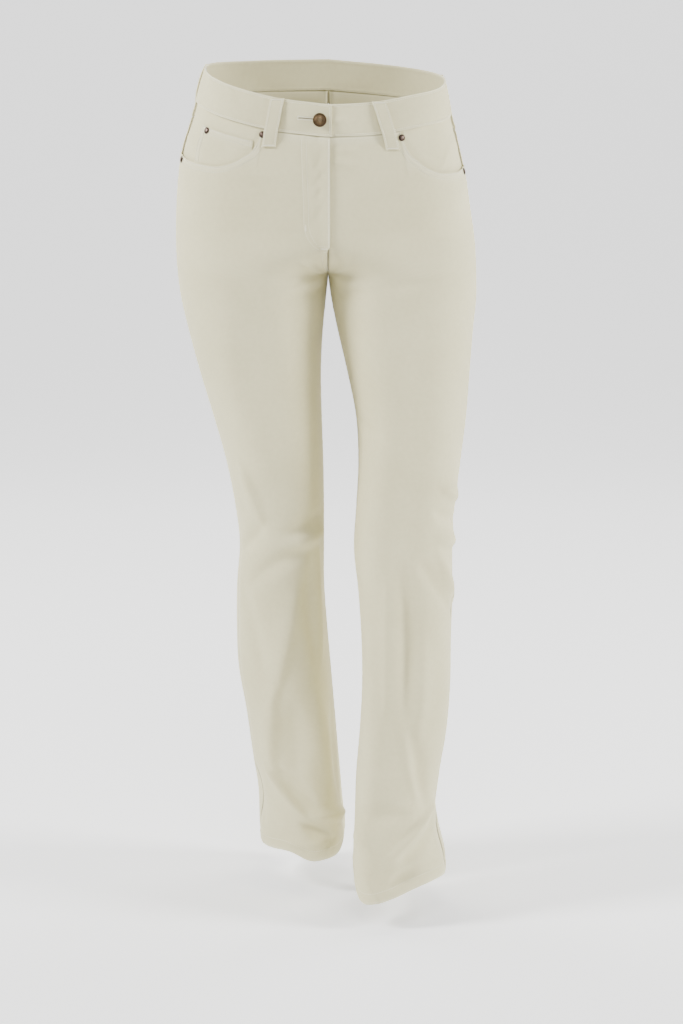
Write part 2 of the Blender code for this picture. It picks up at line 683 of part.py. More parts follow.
def facing(half, material):
    """The piece that shows inside a front pocket's mouth."""
    first = FRONT_COLUMNS - 1
    places = front_places(half)[first:]
    top = band_seam_z(half, places) + FACING_ABOVE
    shares = np.concatenate([[0.0], MOUTH_COLUMNS])
    low = mouth_z(half, places, shares) - FACING_BELOW
    z = top + spread(0, 1, 4)[:, None] * (low - top)
    every = np.hstack([np.repeat(z[:, :1], first, axis=1), z])
    distance = front_distance(half, every)[:, first:]
    distance = np.hstack([distance, outseam(half, z[:, -1:]) + FACING_PAST_SIDE])
    z = np.hstack([z, z[:, -1:]])
    name = "pocket_facing_" + side_name(half)
    cloth(name, half, distance, z, FACING_LIFT, CLOTH, material)


def coin_pocket(material):
    """The small pocket on the right facing."""
    first = FRONT_COLUMNS + COIN_COLUMNS[0]
    last = FRONT_COLUMNS + COIN_COLUMNS[1] + 1
    places = front_places(RIGHT)
    shares = np.concatenate([np.zeros(FRONT_COLUMNS), MOUTH_COLUMNS])
    top = band_seam_z(RIGHT, places) - COIN_BELOW_BAND
    low = mouth_z(RIGHT, places, shares) - COIN_BELOW_MOUTH
    z = top + spread(0, 1, 4)[:, None] * (low - top)
    distance = front_distance(RIGHT, z)[:, first:last]
    lift = FACING_LIFT + COIN_LIFT
    cloth("coin_pocket", RIGHT, distance, z[:, first:last], lift, COIN_THICK, material)


def back_pocket(half, material):
    """A plain patch pocket, pointed at the bottom."""
    u, v = np.meshgrid(np.linspace(0, 1, 9), np.linspace(0, 1, 10))
    from_back = PATCH_FROM_BACK + PATCH_TAPER * v + u * (PATCH_WIDTH - 2 * PATCH_TAPER * v)
    level = np.full_like(u, -0.140)
    top = yoke_seam_z(half, 1 - from_back / whole(half, level)) - PATCH_BELOW_YOKE
    z = top - v * (PATCH_HEIGHT - PATCH_POINT * np.abs(2 * u - 1))
    name = "back_pocket_" + side_name(half)
    cloth(name, half, whole(half, z) - from_back, z, PATCH_LIFT, PATCH_THICK, material)


def band_lift(half, distance):
    """How far the waistband stands out: the right end over the left one."""
    near = 1 - smooth(distance, BAND_LAP, BAND_LAP_FADE)
    return BAND_PROUD + near * (BAND_LAP_LIFT if half == RIGHT else BAND_UNDERLAP_LIFT)


def waistband(material):
    """One strip round the waist, from its lap over its underlap."""
    skins = {0.0: [], BAND_THICK: []}
    shares = np.linspace(0, 1, BACK_COLUMNS + 1)
    for half, before in ((RIGHT, [-BAND_LAP]), (LEFT, BAND_UNDERLAP[::-1] + [0.0])):
        places = np.concatenate([front_places(half)[1:-1], back_places(half, shares)])
        places = places[:-1] if half == LEFT else places
        first = np.array(before) / whole(half, np.full(1, -0.075))
        top = waist_z(half, np.concatenate([first, places]))
        z = top - spread(0, BAND_HEIGHT, 2)[:, None]
        distance = places * whole(half, z[:, len(before):])
        distance = np.hstack([np.tile(before, (len(z), 1)), distance])
        for depth, found in skins.items():
            points = place(half, distance, z, band_lift(half, distance) - depth)
            found.append(points if half == RIGHT else points[:, ::-1])
    outer, inner = (np.hstack(found) for found in skins.values())
    wall("waistband", outer, inner, material)


def belt_loop(loop, material):
    """A strip sewn down at both ends, standing off the waistband between them."""
    share = np.array([row.share for row in LOOP_PATH])
    z = waist_z(loop.half, loop.place) - 0.001 - share[:, None] * loop.length
    distance = loop.place * whole(loop.half, z) + np.linspace(-0.5, 0.5, 3) * LOOP_WIDTH
    lift = np.array([row.lift for row in LOOP_PATH])[:, None] + LOOP_THICK
    cloth(loop.name, loop.half, distance, z, lift, LOOP_THICK, material)


def button(material):
    """The domed button on its shank, on the right end of the waistband."""
    z = np.array([waist_z(RIGHT, 0.0) - BUTTON_BELOW_TOP])
    at = np.array([BUTTON_FROM_CENTRE])
    lift = band_lift(RIGHT, at) + METAL_LIFT
    axis = normal(RIGHT, at, z)[0]
    turned("button", BUTTON, place(RIGHT, at, z, lift)[0], axis, BUTTON_STEPS, material)


def rivet(row, material):
    """A domed rivet at an end of a pocket's mouth."""
    side = outseam(row.half, np.array([-0.075]))
    corner = MOUTH_CORNER[row.half] / side
    share = corner + (1 - corner) * row.share
    round_it = share * side / whole(row.half, np.array([-0.075]))
    z = band_seam_z(row.half, round_it) - row.below
    at = share * outseam(row.half, z)
    axis = normal(row.half, at, z)[0]
    centre = place(row.half, at, z, row.lift + METAL_LIFT)[0]
    turned(row.name, RIVET, centre, axis, RIVET_STEPS, material)


def build():
    """Makes every piece of the trousers."""
    moleskin = new_material("moleskin", (0.70, 0.66, 0.55), 0.92)
    brass = new_material("antique_brass", (0.24, 0.13, 0.07), 0.42, 1.0)
    copper = new_material("antique_copper", (0.36, 0.19, 0.12), 0.45, 1.0)
    for half in (RIGHT, LEFT):
        front(half, moleskin)
        back(half, moleskin)
        yoke(half, moleskin)
        facing(half, moleskin)
        back_pocket(half, moleskin)
    coin_pocket(moleskin)
    waistband(moleskin)
    for loop in LOOPS:
        belt_loop(loop, moleskin)
    button(brass)
    for row in RIVETS:
        rivet(row, copper)


for old in list(bpy.data.objects):
    bpy.data.objects.remove(old)
build()
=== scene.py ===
"""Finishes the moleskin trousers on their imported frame: folds, seams, stitching, nap and metal.

Metres, +Z up, the front faces -Y. Right and left are the wearer's, so the right leg is at -X.
"""

import logging
import math
from dataclasses import dataclass, field
from enum import Enum
from typing import NamedTuple

import bpy
import numpy as np
from mathutils import Matrix, Vector


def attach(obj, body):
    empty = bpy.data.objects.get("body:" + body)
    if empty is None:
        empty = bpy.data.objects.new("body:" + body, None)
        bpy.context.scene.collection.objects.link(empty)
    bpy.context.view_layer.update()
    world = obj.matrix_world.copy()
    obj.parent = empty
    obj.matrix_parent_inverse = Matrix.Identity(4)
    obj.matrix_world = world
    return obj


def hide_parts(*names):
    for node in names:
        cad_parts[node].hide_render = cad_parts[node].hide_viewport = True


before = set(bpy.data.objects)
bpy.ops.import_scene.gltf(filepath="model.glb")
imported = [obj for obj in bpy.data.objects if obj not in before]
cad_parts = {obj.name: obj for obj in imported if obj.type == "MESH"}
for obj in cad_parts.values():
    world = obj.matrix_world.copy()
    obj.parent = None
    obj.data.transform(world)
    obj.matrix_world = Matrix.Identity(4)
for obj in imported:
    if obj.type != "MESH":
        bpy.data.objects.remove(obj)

LOG = logging.getLogger("trousers")
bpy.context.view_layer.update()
MM = 0.001


class Half(Enum):
    """The two halves of the trousers, by the sign of X."""

    RIGHT = -1
    LEFT = 1

    @property
    def word(self) -> str:
        """The half's word in a piece's name."""
        return self.name.lower()

    @property
    def other(self) -> "Half":
        """The half across the centre."""
        return Half(-self.value)


class SeatRow(NamedTuple):
    """How far the cloth reaches at a height above the crotch."""

    z: float
    right: float
    left: float
    front: float
    mid: float
    back: float


class LegRow(NamedTuple):
    """How far a leg reaches at a height, and how far forward its seams lie."""

    z: float
    outer: float
    inner: float
    front: float
    mid: float
    back: float
    crease: float
    outseam: float
    inseam: float


class EdgeRow(NamedTuple):
    """The height of an edge at a place round each half."""

    place: float
    right: float
    left: float


class MouthRow(NamedTuple):
    """How far below the waistband a pocket's mouth lies."""

    share: float
    drop: float


class FoldRow(NamedTuple):
    """A soft fold over three points, each a place round the half and a height."""

    half: Half
    place: float
    z: float
    mid_place: float
    mid_z: float
    end_place: float
    end_z: float
    width: float
    height: float
    lean: float


class StandRow(NamedTuple):
    """How far a belt loop's inner side stands off, at a share of its length."""

    share: float
    lift: float


class TurnedRow(NamedTuple):
    """A ring of a turned piece: its radius and height."""

    radius: float
    height: float


SEAT = (
    SeatRow(0.030, 0.156, 0.149, -0.097, 0.004, 0.094),
    SeatRow(-0.020, 0.171, 0.158, -0.102, 0.004, 0.104),
    SeatRow(-0.060, 0.182, 0.166, -0.107, 0.004, 0.116),
    SeatRow(-0.100, 0.195, 0.176, -0.110, 0.005, 0.130),
    SeatRow(-0.140, 0.201, 0.185, -0.111, 0.007, 0.143),
    SeatRow(-0.180, 0.204, 0.191, -0.111, 0.009, 0.150),
    SeatRow(-0.220, 0.205, 0.197, -0.110, 0.011, 0.150),
    SeatRow(-0.268, 0.203, 0.200, -0.107, 0.014, 0.139),
)
RIGHT_LEG = (
    LegRow(-0.300, -0.199, -0.003, -0.105, 0.015, 0.120, 0.000, 0.012, 0.000),
    LegRow(-0.340, -0.190, -0.007, -0.103, 0.013, 0.104, 0.000, 0.014, 0.000),
    LegRow(-0.400, -0.174, -0.010, -0.101, 0.008, 0.092, 0.002, 0.017, 0.000),
    LegRow(-0.460, -0.156, -0.009, -0.099, 0.003, 0.084, 0.004, 0.019, 0.000),
    LegRow(-0.520, -0.139, -0.007, -0.097, -0.003, 0.075, 0.006, 0.020, 0.001),
    LegRow(-0.580, -0.127, -0.006, -0.095, -0.008, 0.067, 0.008, 0.020, 0.002),
    LegRow(-0.630, -0.121, -0.006, -0.092, -0.010, 0.063, 0.009, 0.020, 0.003),
    LegRow(-0.690, -0.125, -0.006, -0.087, -0.008, 0.066, 0.010, 0.021, 0.004),
    LegRow(-0.750, -0.126, -0.002, -0.083, -0.003, 0.073, 0.012, 0.023, 0.004),
    LegRow(-0.810, -0.124, 0.003, -0.079, 0.002, 0.081, 0.014, 0.024, 0.004),
    LegRow(-0.870, -0.114, 0.008, -0.076, 0.007, 0.088, 0.016, 0.022, 0.004),
    LegRow(-0.930, -0.106, 0.013, -0.073, 0.011, 0.093, 0.018, 0.020, 0.004),
    LegRow(-0.990, -0.098, 0.018, -0.071, 0.014, 0.098, 0.019, 0.022, 0.004),
    LegRow(-1.040, -0.096, 0.022, -0.070, 0.017, 0.102, 0.020, 0.018, 0.004),
    LegRow(-1.085, -0.091, 0.019, -0.070, 0.018, 0.105, 0.020, 0.012, 0.004),
)
LEFT_LEG = (
    LegRow(-0.300, 0.200, 0.004, -0.108, 0.010, 0.118, 0.000, 0.006, 0.001),
    LegRow(-0.340, 0.196, 0.012, -0.109, 0.004, 0.103, 0.000, 0.006, 0.002),
    LegRow(-0.400, 0.191, 0.026, -0.113, -0.006, 0.086, 0.002, 0.006, 0.004),
    LegRow(-0.460, 0.186, 0.038, -0.121, -0.020, 0.070, 0.004, 0.007, 0.006),
    LegRow(-0.520, 0.178, 0.041, -0.131, -0.036, 0.051, 0.006, 0.008, 0.007),
    LegRow(-0.580, 0.170, 0.038, -0.143, -0.054, 0.030, 0.008, 0.010, 0.007),
    LegRow(-0.630, 0.167, 0.035, -0.153, -0.067, 0.014, 0.010, 0.012, 0.006),
    LegRow(-0.690, 0.167, 0.041, -0.166, -0.081, 0.003, 0.012, 0.016, 0.005),
    LegRow(-0.750, 0.165, 0.045, -0.179, -0.095, -0.010, 0.014, 0.019, 0.005),
    LegRow(-0.810, 0.164, 0.046, -0.192, -0.106, -0.021, 0.016, 0.021, 0.005),
    LegRow(-0.870, 0.159, 0.043, -0.203, -0.116, -0.032, 0.018, 0.022, 0.005),
    LegRow(-0.930, 0.149, 0.038, -0.213, -0.125, -0.040, 0.020, 0.022, 0.005),
    LegRow(-0.990, 0.144, 0.036, -0.221, -0.133, -0.046, 0.022, 0.024, 0.005),
    LegRow(-1.040, 0.155, 0.034, -0.227, -0.138, -0.050, 0.024, 0.014, 0.005),
    LegRow(-1.085, 0.159, 0.035, -0.230, -0.141, -0.053, 0.024, 0.006, 0.005),
)
WAIST_EDGE = (
    EdgeRow(0.00, -0.040, -0.040),
    EdgeRow(0.14, -0.032, -0.037),
    EdgeRow(0.27, -0.019, -0.028),
    EdgeRow(0.38, -0.006, -0.021),
    EdgeRow(0.50, 0.007, -0.010),
    EdgeRow(0.75, 0.014, 0.006),
    EdgeRow(1.00, 0.016, 0.016),
)
HEM_EDGE = (
    EdgeRow(0.00, 0.026, 0.009),
    EdgeRow(0.07, 0.010, 0.004),
    EdgeRow(0.12, 0.004, -0.010),
    EdgeRow(0.16, 0.000, -0.0185),
    EdgeRow(0.20, -0.003, -0.0165),
    EdgeRow(0.25, -0.006, -0.010),
    EdgeRow(0.32, 0.004, 0.000),
    EdgeRow(0.42, 0.003, 0.005),
    EdgeRow(0.50, 0.001, 0.003),
    EdgeRow(0.75, -0.008, -0.006),
    EdgeRow(0.93, 0.010, 0.003),
    EdgeRow(1.00, 0.026, 0.009),
)
MOUTH = (
    MouthRow(0.00, 0.0000),
    MouthRow(0.04, 0.0200),
    MouthRow(0.16, 0.0430),
    MouthRow(0.34, 0.0600),
    MouthRow(0.55, 0.0660),
    MouthRow(1.00, 0.0690),
)
R, L = Half.RIGHT, Half.LEFT
FOLDS = (
    # Right leg, front: crotch, thigh and knee
    FoldRow(R, 0.07, -0.245, 0.05, -0.254, 0.03, -0.260, 0.0050, 0.0016, 0.3),
    FoldRow(R, 0.20, -0.286, 0.14, -0.276, 0.07, -0.268, 0.0075, 0.0022, 0.3),
    FoldRow(R, 0.22, -0.302, 0.14, -0.294, 0.06, -0.284, 0.0080, -0.0018, 0.0),
    FoldRow(R, 0.27, -0.335, 0.28, -0.390, 0.29, -0.455, 0.0300, -0.0040, 0.0),
    FoldRow(R, 0.37, -0.520, 0.35, -0.565, 0.32, -0.595, 0.0130, 0.0050, 0.3),
    FoldRow(R, 0.32, -0.600, 0.36, -0.618, 0.45, -0.640, 0.0110, -0.0045, 0.0),
    FoldRow(R, 0.25, -0.607, 0.18, -0.597, 0.04, -0.590, 0.0120, -0.0046, 0.0),
    FoldRow(R, 0.24, -0.624, 0.17, -0.617, 0.05, -0.612, 0.0120, 0.0046, 0.0),
    FoldRow(R, 0.37, -0.680, 0.28, -0.642, 0.15, -0.634, 0.0130, -0.0052, 0.0),
    FoldRow(R, 0.115, -0.640, 0.115, -0.715, 0.13, -0.790, 0.0110, 0.0040, 0.2),
    FoldRow(R, 0.16, -0.640, 0.17, -0.705, 0.16, -0.790, 0.0120, -0.0040, 0.0),
    FoldRow(R, 0.41, -0.690, 0.36, -0.740, 0.33, -0.800, 0.0150, -0.0036, 0.0),
    FoldRow(R, 0.21, -0.690, 0.24, -0.760, 0.30, -0.840, 0.0150, 0.0046, 0.3),
    FoldRow(R, 0.30, -0.830, 0.345, -0.890, 0.35, -0.955, 0.0150, 0.0056, 0.3),
    FoldRow(R, 0.25, -0.850, 0.26, -0.900, 0.27, -0.950, 0.0200, -0.0044, 0.0),
    FoldRow(R, 0.17, -0.830, 0.16, -0.900, 0.17, -0.980, 0.0160, 0.0030, 0.0),
    FoldRow(R, 0.09, -0.860, 0.10, -0.930, 0.10, -0.985, 0.0160, -0.0034, 0.0),
    # Right leg, front: the break over the instep
    FoldRow(R, 0.38, -0.938, 0.31, -0.978, 0.25, -1.008, 0.0085, 0.0058, 0.5),
    FoldRow(R, 0.33, -0.945, 0.28, -0.968, 0.22, -0.992, 0.0120, -0.0052, 0.0),
    FoldRow(R, 0.25, -1.008, 0.17, -1.006, 0.04, -1.016, 0.0085, 0.0058, 0.0),
    FoldRow(R, 0.27, -1.020, 0.23, -1.029, 0.18, -1.034, 0.0085, -0.0072, 0.0),
    FoldRow(R, 0.33, -1.048, 0.26, -1.046, 0.19, -1.046, 0.0070, 0.0036, 0.0),
    FoldRow(R, 0.21, -1.052, 0.19, -1.046, 0.15, -1.038, 0.0045, -0.0030, 0.0),
    FoldRow(R, 0.44, -0.950, 0.46, -0.990, 0.43, -1.030, 0.0140, -0.0040, 0.0),
    # Right leg, back
    FoldRow(R, 0.70, -0.292, 0.84, -0.304, 0.97, -0.296, 0.0110, -0.0040, 0.0),
    FoldRow(R, 0.66, -0.316, 0.80, -0.334, 0.97, -0.320, 0.0120, 0.0038, 0.3),
    FoldRow(R, 0.68, -0.345, 0.82, -0.368, 0.96, -0.350, 0.0120, -0.0032, 0.0),
    FoldRow(R, 0.74, -0.392, 0.84, -0.412, 0.95, -0.392, 0.0130, 0.0024, 0.2),
    FoldRow(R, 0.60, -0.545, 0.74, -0.580, 0.90, -0.562, 0.0130, 0.0052, 0.3),
    FoldRow(R, 0.58, -0.572, 0.74, -0.606, 0.93, -0.590, 0.0105, -0.0056, 0.0),
    FoldRow(R, 0.60, -0.602, 0.75, -0.634, 0.90, -0.618, 0.0120, 0.0050, 0.3),
    FoldRow(R, 0.62, -0.636, 0.76, -0.662, 0.88, -0.648, 0.0110, -0.0042, 0.0),
    FoldRow(R, 0.66, -0.668, 0.77, -0.690, 0.88, -0.676, 0.0130, 0.0030, 0.2),
    FoldRow(R, 0.68, -0.720, 0.66, -0.820, 0.68, -0.930, 0.0220, 0.0040, 0.0),
    FoldRow(R, 0.80, -0.740, 0.81, -0.840, 0.79, -0.950, 0.0220, -0.0036, 0.0),
    FoldRow(R, 0.58, -0.985, 0.72, -1.012, 0.86, -1.000, 0.0120, 0.0046, 0.2),
    FoldRow(R, 0.60, -1.012, 0.73, -1.036, 0.84, -1.026, 0.0100, -0.0046, 0.0),
    # Left leg, front: crotch, thigh and knee
    FoldRow(L, 0.06, -0.245, 0.05, -0.254, 0.03, -0.260, 0.0050, 0.0013, 0.3),
    FoldRow(L, 0.20, -0.282, 0.14, -0.273, 0.07, -0.266, 0.0075, 0.0022, 0.3),
    FoldRow(L, 0.30, -0.272, 0.20, -0.280, 0.09, -0.292, 0.0090, -0.0016, 0.0),
    FoldRow(L, 0.07, -0.455, 0.12, -0.465, 0.17, -0.480, 0.0090, -0.0018, 0.0),
    FoldRow(L, 0.36, -0.542, 0.41, -0.556, 0.50, -0.566, 0.0110, 0.0046, 0.3),
    FoldRow(L, 0.35, -0.575, 0.41, -0.590, 0.50, -0.594, 0.0100, -0.0056, 0.0),
    FoldRow(L, 0.36, -0.608, 0.42, -0.620, 0.51, -0.622, 0.0110, 0.0050, 0.3),
    FoldRow(L, 0.31, -0.640, 0.37, -0.672, 0.45, -0.712, 0.0130, -0.0058, 0.0),
    FoldRow(L, 0.37, -0.630, 0.42, -0.665, 0.49, -0.700, 0.0095, 0.0040, 0.3),
    FoldRow(L, 0.215, -0.650, 0.205, -0.725, 0.21, -0.830, 0.0130, 0.0044, 0.2),
    FoldRow(L, 0.255, -0.645, 0.250, -0.740, 0.265, -0.840, 0.0125, -0.0062, 0.0),
    FoldRow(L, 0.31, -0.730, 0.30, -0.800, 0.32, -0.860, 0.0150, 0.0036, 0.0),
    FoldRow(L, 0.285, -0.860, 0.33, -0.905, 0.39, -0.960, 0.0130, -0.0056, 0.0),
    FoldRow(L, 0.25, -0.850, 0.30, -0.905, 0.34, -0.950, 0.0095, 0.0036, 0.3),
    FoldRow(L, 0.13, -0.700, 0.13, -0.800, 0.13, -0.900, 0.0200, 0.0026, 0.0),
    # Left leg, front: the break over the instep
    FoldRow(L, 0.43, -0.966, 0.33, -0.990, 0.25, -1.022, 0.0085, 0.0062, 0.4),
    FoldRow(L, 0.42, -0.996, 0.33, -1.012, 0.28, -1.030, 0.0090, -0.0046, 0.0),
    FoldRow(L, 0.13, -0.975, 0.21, -0.966, 0.31, -0.962, 0.0140, -0.0058, 0.0),
    FoldRow(L, 0.08, -1.000, 0.14, -1.000, 0.22, -1.010, 0.0130, 0.0036, 0.2),
    FoldRow(L, 0.25, -1.056, 0.28, -1.044, 0.33, -1.038, 0.0085, -0.0046, 0.0),
    FoldRow(L, 0.42, -0.955, 0.49, -1.000, 0.49, -1.050, 0.0120, 0.0038, 0.0),
    FoldRow(L, 0.18, -1.050, 0.20, -1.065, 0.22, -1.080, 0.0080, 0.0024, 0.0),
    # Left leg, back
    FoldRow(L, 0.70, -0.290, 0.84, -0.302, 0.97, -0.294, 0.0110, -0.0040, 0.0),
    FoldRow(L, 0.66, -0.314, 0.80, -0.332, 0.97, -0.318, 0.0120, 0.0040, 0.3),
    FoldRow(L, 0.67, -0.346, 0.81, -0.370, 0.96, -0.352, 0.0120, -0.0034, 0.0),
    FoldRow(L, 0.72, -0.396, 0.83, -0.418, 0.95, -0.400, 0.0130, 0.0026, 0.2),
    FoldRow(L, 0.58, -0.548, 0.73, -0.590, 0.90, -0.566, 0.0130, 0.0056, 0.3),
    FoldRow(L, 0.57, -0.576, 0.73, -0.618, 0.92, -0.596, 0.0105, -0.0058, 0.0),
    FoldRow(L, 0.58, -0.608, 0.74, -0.648, 0.90, -0.628, 0.0120, 0.0052, 0.3),
    FoldRow(L, 0.60, -0.646, 0.75, -0.680, 0.88, -0.660, 0.0110, -0.0044, 0.0),
    FoldRow(L, 0.66, -0.690, 0.76, -0.712, 0.86, -0.700, 0.0130, 0.0030, 0.2),
    FoldRow(L, 0.70, -0.740, 0.68, -0.840, 0.69, -0.940, 0.0220, 0.0040, 0.0),
    FoldRow(L, 0.82, -0.760, 0.83, -0.850, 0.81, -0.940, 0.0220, -0.0036, 0.0),
    FoldRow(L, 0.60, -0.980, 0.72, -1.006, 0.84, -0.996, 0.0120, 0.0046, 0.2),
    FoldRow(L, 0.60, -1.008, 0.72, -1.030, 0.82, -1.022, 0.0100, -0.0044, 0.0),
    # Hips and seat, both sides
    FoldRow(R, 0.35, -0.132, 0.22, -0.137, 0.10, -0.130, 0.0080, 0.0010, 0.0),
    FoldRow(R, 0.33, -0.176, 0.21, -0.186, 0.10, -0.180, 0.0140, -0.0012, 0.0),
    FoldRow(L, 0.01, -0.099, 0.035, -0.100, 0.08, -0.099, 0.0034, 0.0016, 0.0),
    FoldRow(L, 0.01, -0.112, 0.045, -0.116, 0.09, -0.122, 0.0050, 0.0017, 0.0),
    FoldRow(L, 0.38, -0.165, 0.26, -0.185, 0.17, -0.196, 0.0150, 0.0014, 0.0),
    FoldRow(L, 0.42, -0.205, 0.36, -0.214, 0.28, -0.216, 0.0120, -0.0014, 0.0),
    FoldRow(R, 0.96, -0.100, 0.90, -0.112, 0.84, -0.118, 0.0090, 0.0010, 0.0),
    FoldRow(L, 0.96, -0.102, 0.90, -0.116, 0.82, -0.122, 0.0090, 0.0010, 0.0),
)


def soft_step(x: np.ndarray, low: float, high: float) -> np.ndarray:
    """A soft step.

    Args:
        x: The values.
        low: Where the step starts.
        high: Where the step ends.

    Returns:
        0 up to low, 1 from high, and a smooth curve between.
    """
    t = np.clip((x - low) / (high - low), 0.0, 1.0)
    return t * t * (3 - 2 * t)


def hump(x: np.ndarray, width: float) -> np.ndarray:
    """A bell curve of height 1 round 0, of the given width."""
    return np.exp(-((x / width) ** 2))


class TableCurve:
    """The columns of a table of named rows, as smooth curves over its first column."""

    def __init__(self, rows: tuple) -> None:
        """Keeps the rows in rising order."""
        ordered = sorted(rows, key=lambda row: row[0])
        self.knots = np.array([row[0] for row in ordered])
        self.values = {n: np.array([getattr(row, n) for row in ordered]) for n in rows[0]._fields[1:]}

    def at(self, name: str, x: np.ndarray) -> np.ndarray:
        """A column's value.

        Args:
            name: The column.
            x: Values of the first column.

        Returns:
            The column at x, as a cubic through the rows.
        """
        knots, values = self.knots, self.values[name]
        slopes = np.gradient(values, knots)
        x = np.clip(x, knots[0], knots[-1])
        i = np.clip(np.searchsorted(knots, x) - 1, 0, len(knots) - 2)
        span = knots[i + 1] - knots[i]
        t = (x - knots[i]) / span
        start = (1 + 2 * t) * (1 - t) ** 2 * values[i] + t * (1 - t) ** 2 * span * slopes[i]
        return start + t**2 * (3 - 2 * t) * values[i + 1] + t**2 * (t - 1) * span * slopes[i + 1]


@dataclass
class LegForm:
    """The outer face of one half, over a distance round it and a height."""

    half: Half
    crotch_z: float = -0.268
    front_fork: float = 0.066
    back_fork: float = 0.160
    round_seat: float = 0.10
    round_leg: float = 0.05
    seam_gap: float = 0.0003
    steps: int = 48
    fold_depth: float = 1.35

    def __post_init__(self) -> None:
        """Joins the seat's and the leg's tables."""
        sign = self.half.value
        legs = RIGHT_LEG if self.half is Half.RIGHT else LEFT_LEG
        reach = self.half.word
        seat = [
            LegRow(r.z, getattr(r, reach), 0.0, r.front, r.mid, r.back, 0.0, 0.0, 0.0) for r in SEAT
        ]
        turned = [row._replace(outer=row.outer * sign, inner=row.inner * sign) for row in legs]
        self.rings = TableCurve(tuple(seat + turned))
        seams = [LegRow(r.z, 0, 0, 0, 0, 0, 0, 0.006, 0.0) for r in SEAT]
        self.seams = TableCurve(tuple(seams + list(legs)))
        self.folds = [row for row in FOLDS if row.half is self.half]

    def section(self, z: np.ndarray) -> tuple:
        """The ring's sizes at each height, with its front and back parts."""
        names = ("outer", "inner", "front", "mid", "back", "crease")
        ring = {n: self.rings.at(n, z) for n in names}
        above = z > self.crotch_z
        lift = soft_step(z, self.crotch_z, self.crotch_z + self.back_fork)
        square = self.round_leg + (self.round_seat - self.round_leg) * lift
        parts = []
        for height in (self.front_fork, self.back_fork):
            up = np.clip((z - self.crotch_z) / height, 0.0, 1.0)
            fork = (1 - up**1.5) ** 2
            wide = np.where(above, ring["outer"] / (1 + fork), (ring["outer"] - ring["inner"]) / 2)
            centre = np.where(above, fork * wide, (ring["outer"] + ring["inner"]) / 2)
            cosine = -fork
            for _ in range(4):
                miss = cosine * (1 + square * (1 - cosine**2)) + fork
                cosine = cosine - miss / (1 + square * (1 - 3 * cosine**2))
            end = np.where(above, np.arccos(np.clip(cosine, -1, 1)), math.pi)
            parts.append((wide, centre, end))
        return ring, square, parts

    def on_section(self, made: tuple, turn: np.ndarray) -> tuple[np.ndarray, np.ndarray]:
        """Points in plan on each section.

        Args:
            made: What section returned.
            turn: -1 at the inner front, 0 at the side, 1 at the inner back.

        Returns:
            X, out from the centre, and Y.
        """
        ring, square, ((wide_f, centre_f, end_f), (wide_b, centre_b, end_b)) = made
        shape = (-1,) + (1,) * (turn.ndim - 1)
        front = turn < 0

        def pick(a: np.ndarray, b: np.ndarray) -> np.ndarray:
            """The front's value or the back's."""
            return np.where(front, a.reshape(shape), b.reshape(shape))

        angle = turn * pick(end_f, end_b)
        wide, centre = pick(wide_f, wide_b), pick(centre_f, centre_b)
        depth = pick(ring["mid"] - ring["front"], ring["back"] - ring["mid"])
        cosine, sine, bulge = np.cos(angle), np.sin(angle), square.reshape(shape)
        x = centre + wide * cosine * (1 + bulge * sine**2)
        x = x - np.where(front, ring["crease"].reshape(shape) * sine**2, 0.0)
        return x, ring["mid"].reshape(shape) + depth * sine * (1 + bulge * cosine**2)

    def lengths(self, z: np.ndarray) -> tuple:
        """Sections at each height, with the running distance along each."""
        made = self.section(z)
        turn = np.linspace(-1, 1, 2 * self.steps + 1)
        x, y = self.on_section(made, np.tile(turn, (len(z), 1)))
        along = np.cumsum(np.hypot(np.diff(x, axis=1), np.diff(y, axis=1)), axis=1)
        return made, turn, np.hstack([np.zeros((len(z), 1)), along])

    def plain_point(self, distance: np.ndarray, z: np.ndarray) -> np.ndarray:
        """Points on the face without its folds."""
        made, turn, along = self.lengths(z)
        distance = np.clip(distance, 0.0, along[:, -1])
        i = np.clip((along <= distance[:, None]).sum(axis=1) - 1, 0, along.shape[1] - 2)
        rows = np.arange(len(z))
        span = np.maximum(along[rows, i + 1] - along[rows, i], 1e-9)
        share = (distance - along[rows, i]) / span
        x, y = self.on_section(made, turn[i] + share * (turn[i + 1] - turn[i]))
        return np.stack([self.half.value * (x + self.seam_gap / 2), y, z], axis=1)

    def whole(self, z: np.ndarray) -> np.ndarray:
        """The whole distance round at each height."""
        heights, back = np.unique(np.round(z, 6), return_inverse=True)
        return self.lengths(heights)[2][:, -1][back.ravel()]

    def side(self, z: np.ndarray) -> np.ndarray:
        """The distance to the outermost line at each height."""
        heights, back = np.unique(np.round(z, 6), return_inverse=True)
        return self.lengths(heights)[2][:, self.steps][back.ravel()]

    def fold_height(self, distance: np.ndarray, z: np.ndarray) -> np.ndarray:
        """How far the folds move the face out."""
        whole = self.whole(z)
        total = np.zeros(len(z))
        for row in self.folds:
            total += self.one_fold(row, distance, z, whole)
        return self.fold_depth * total

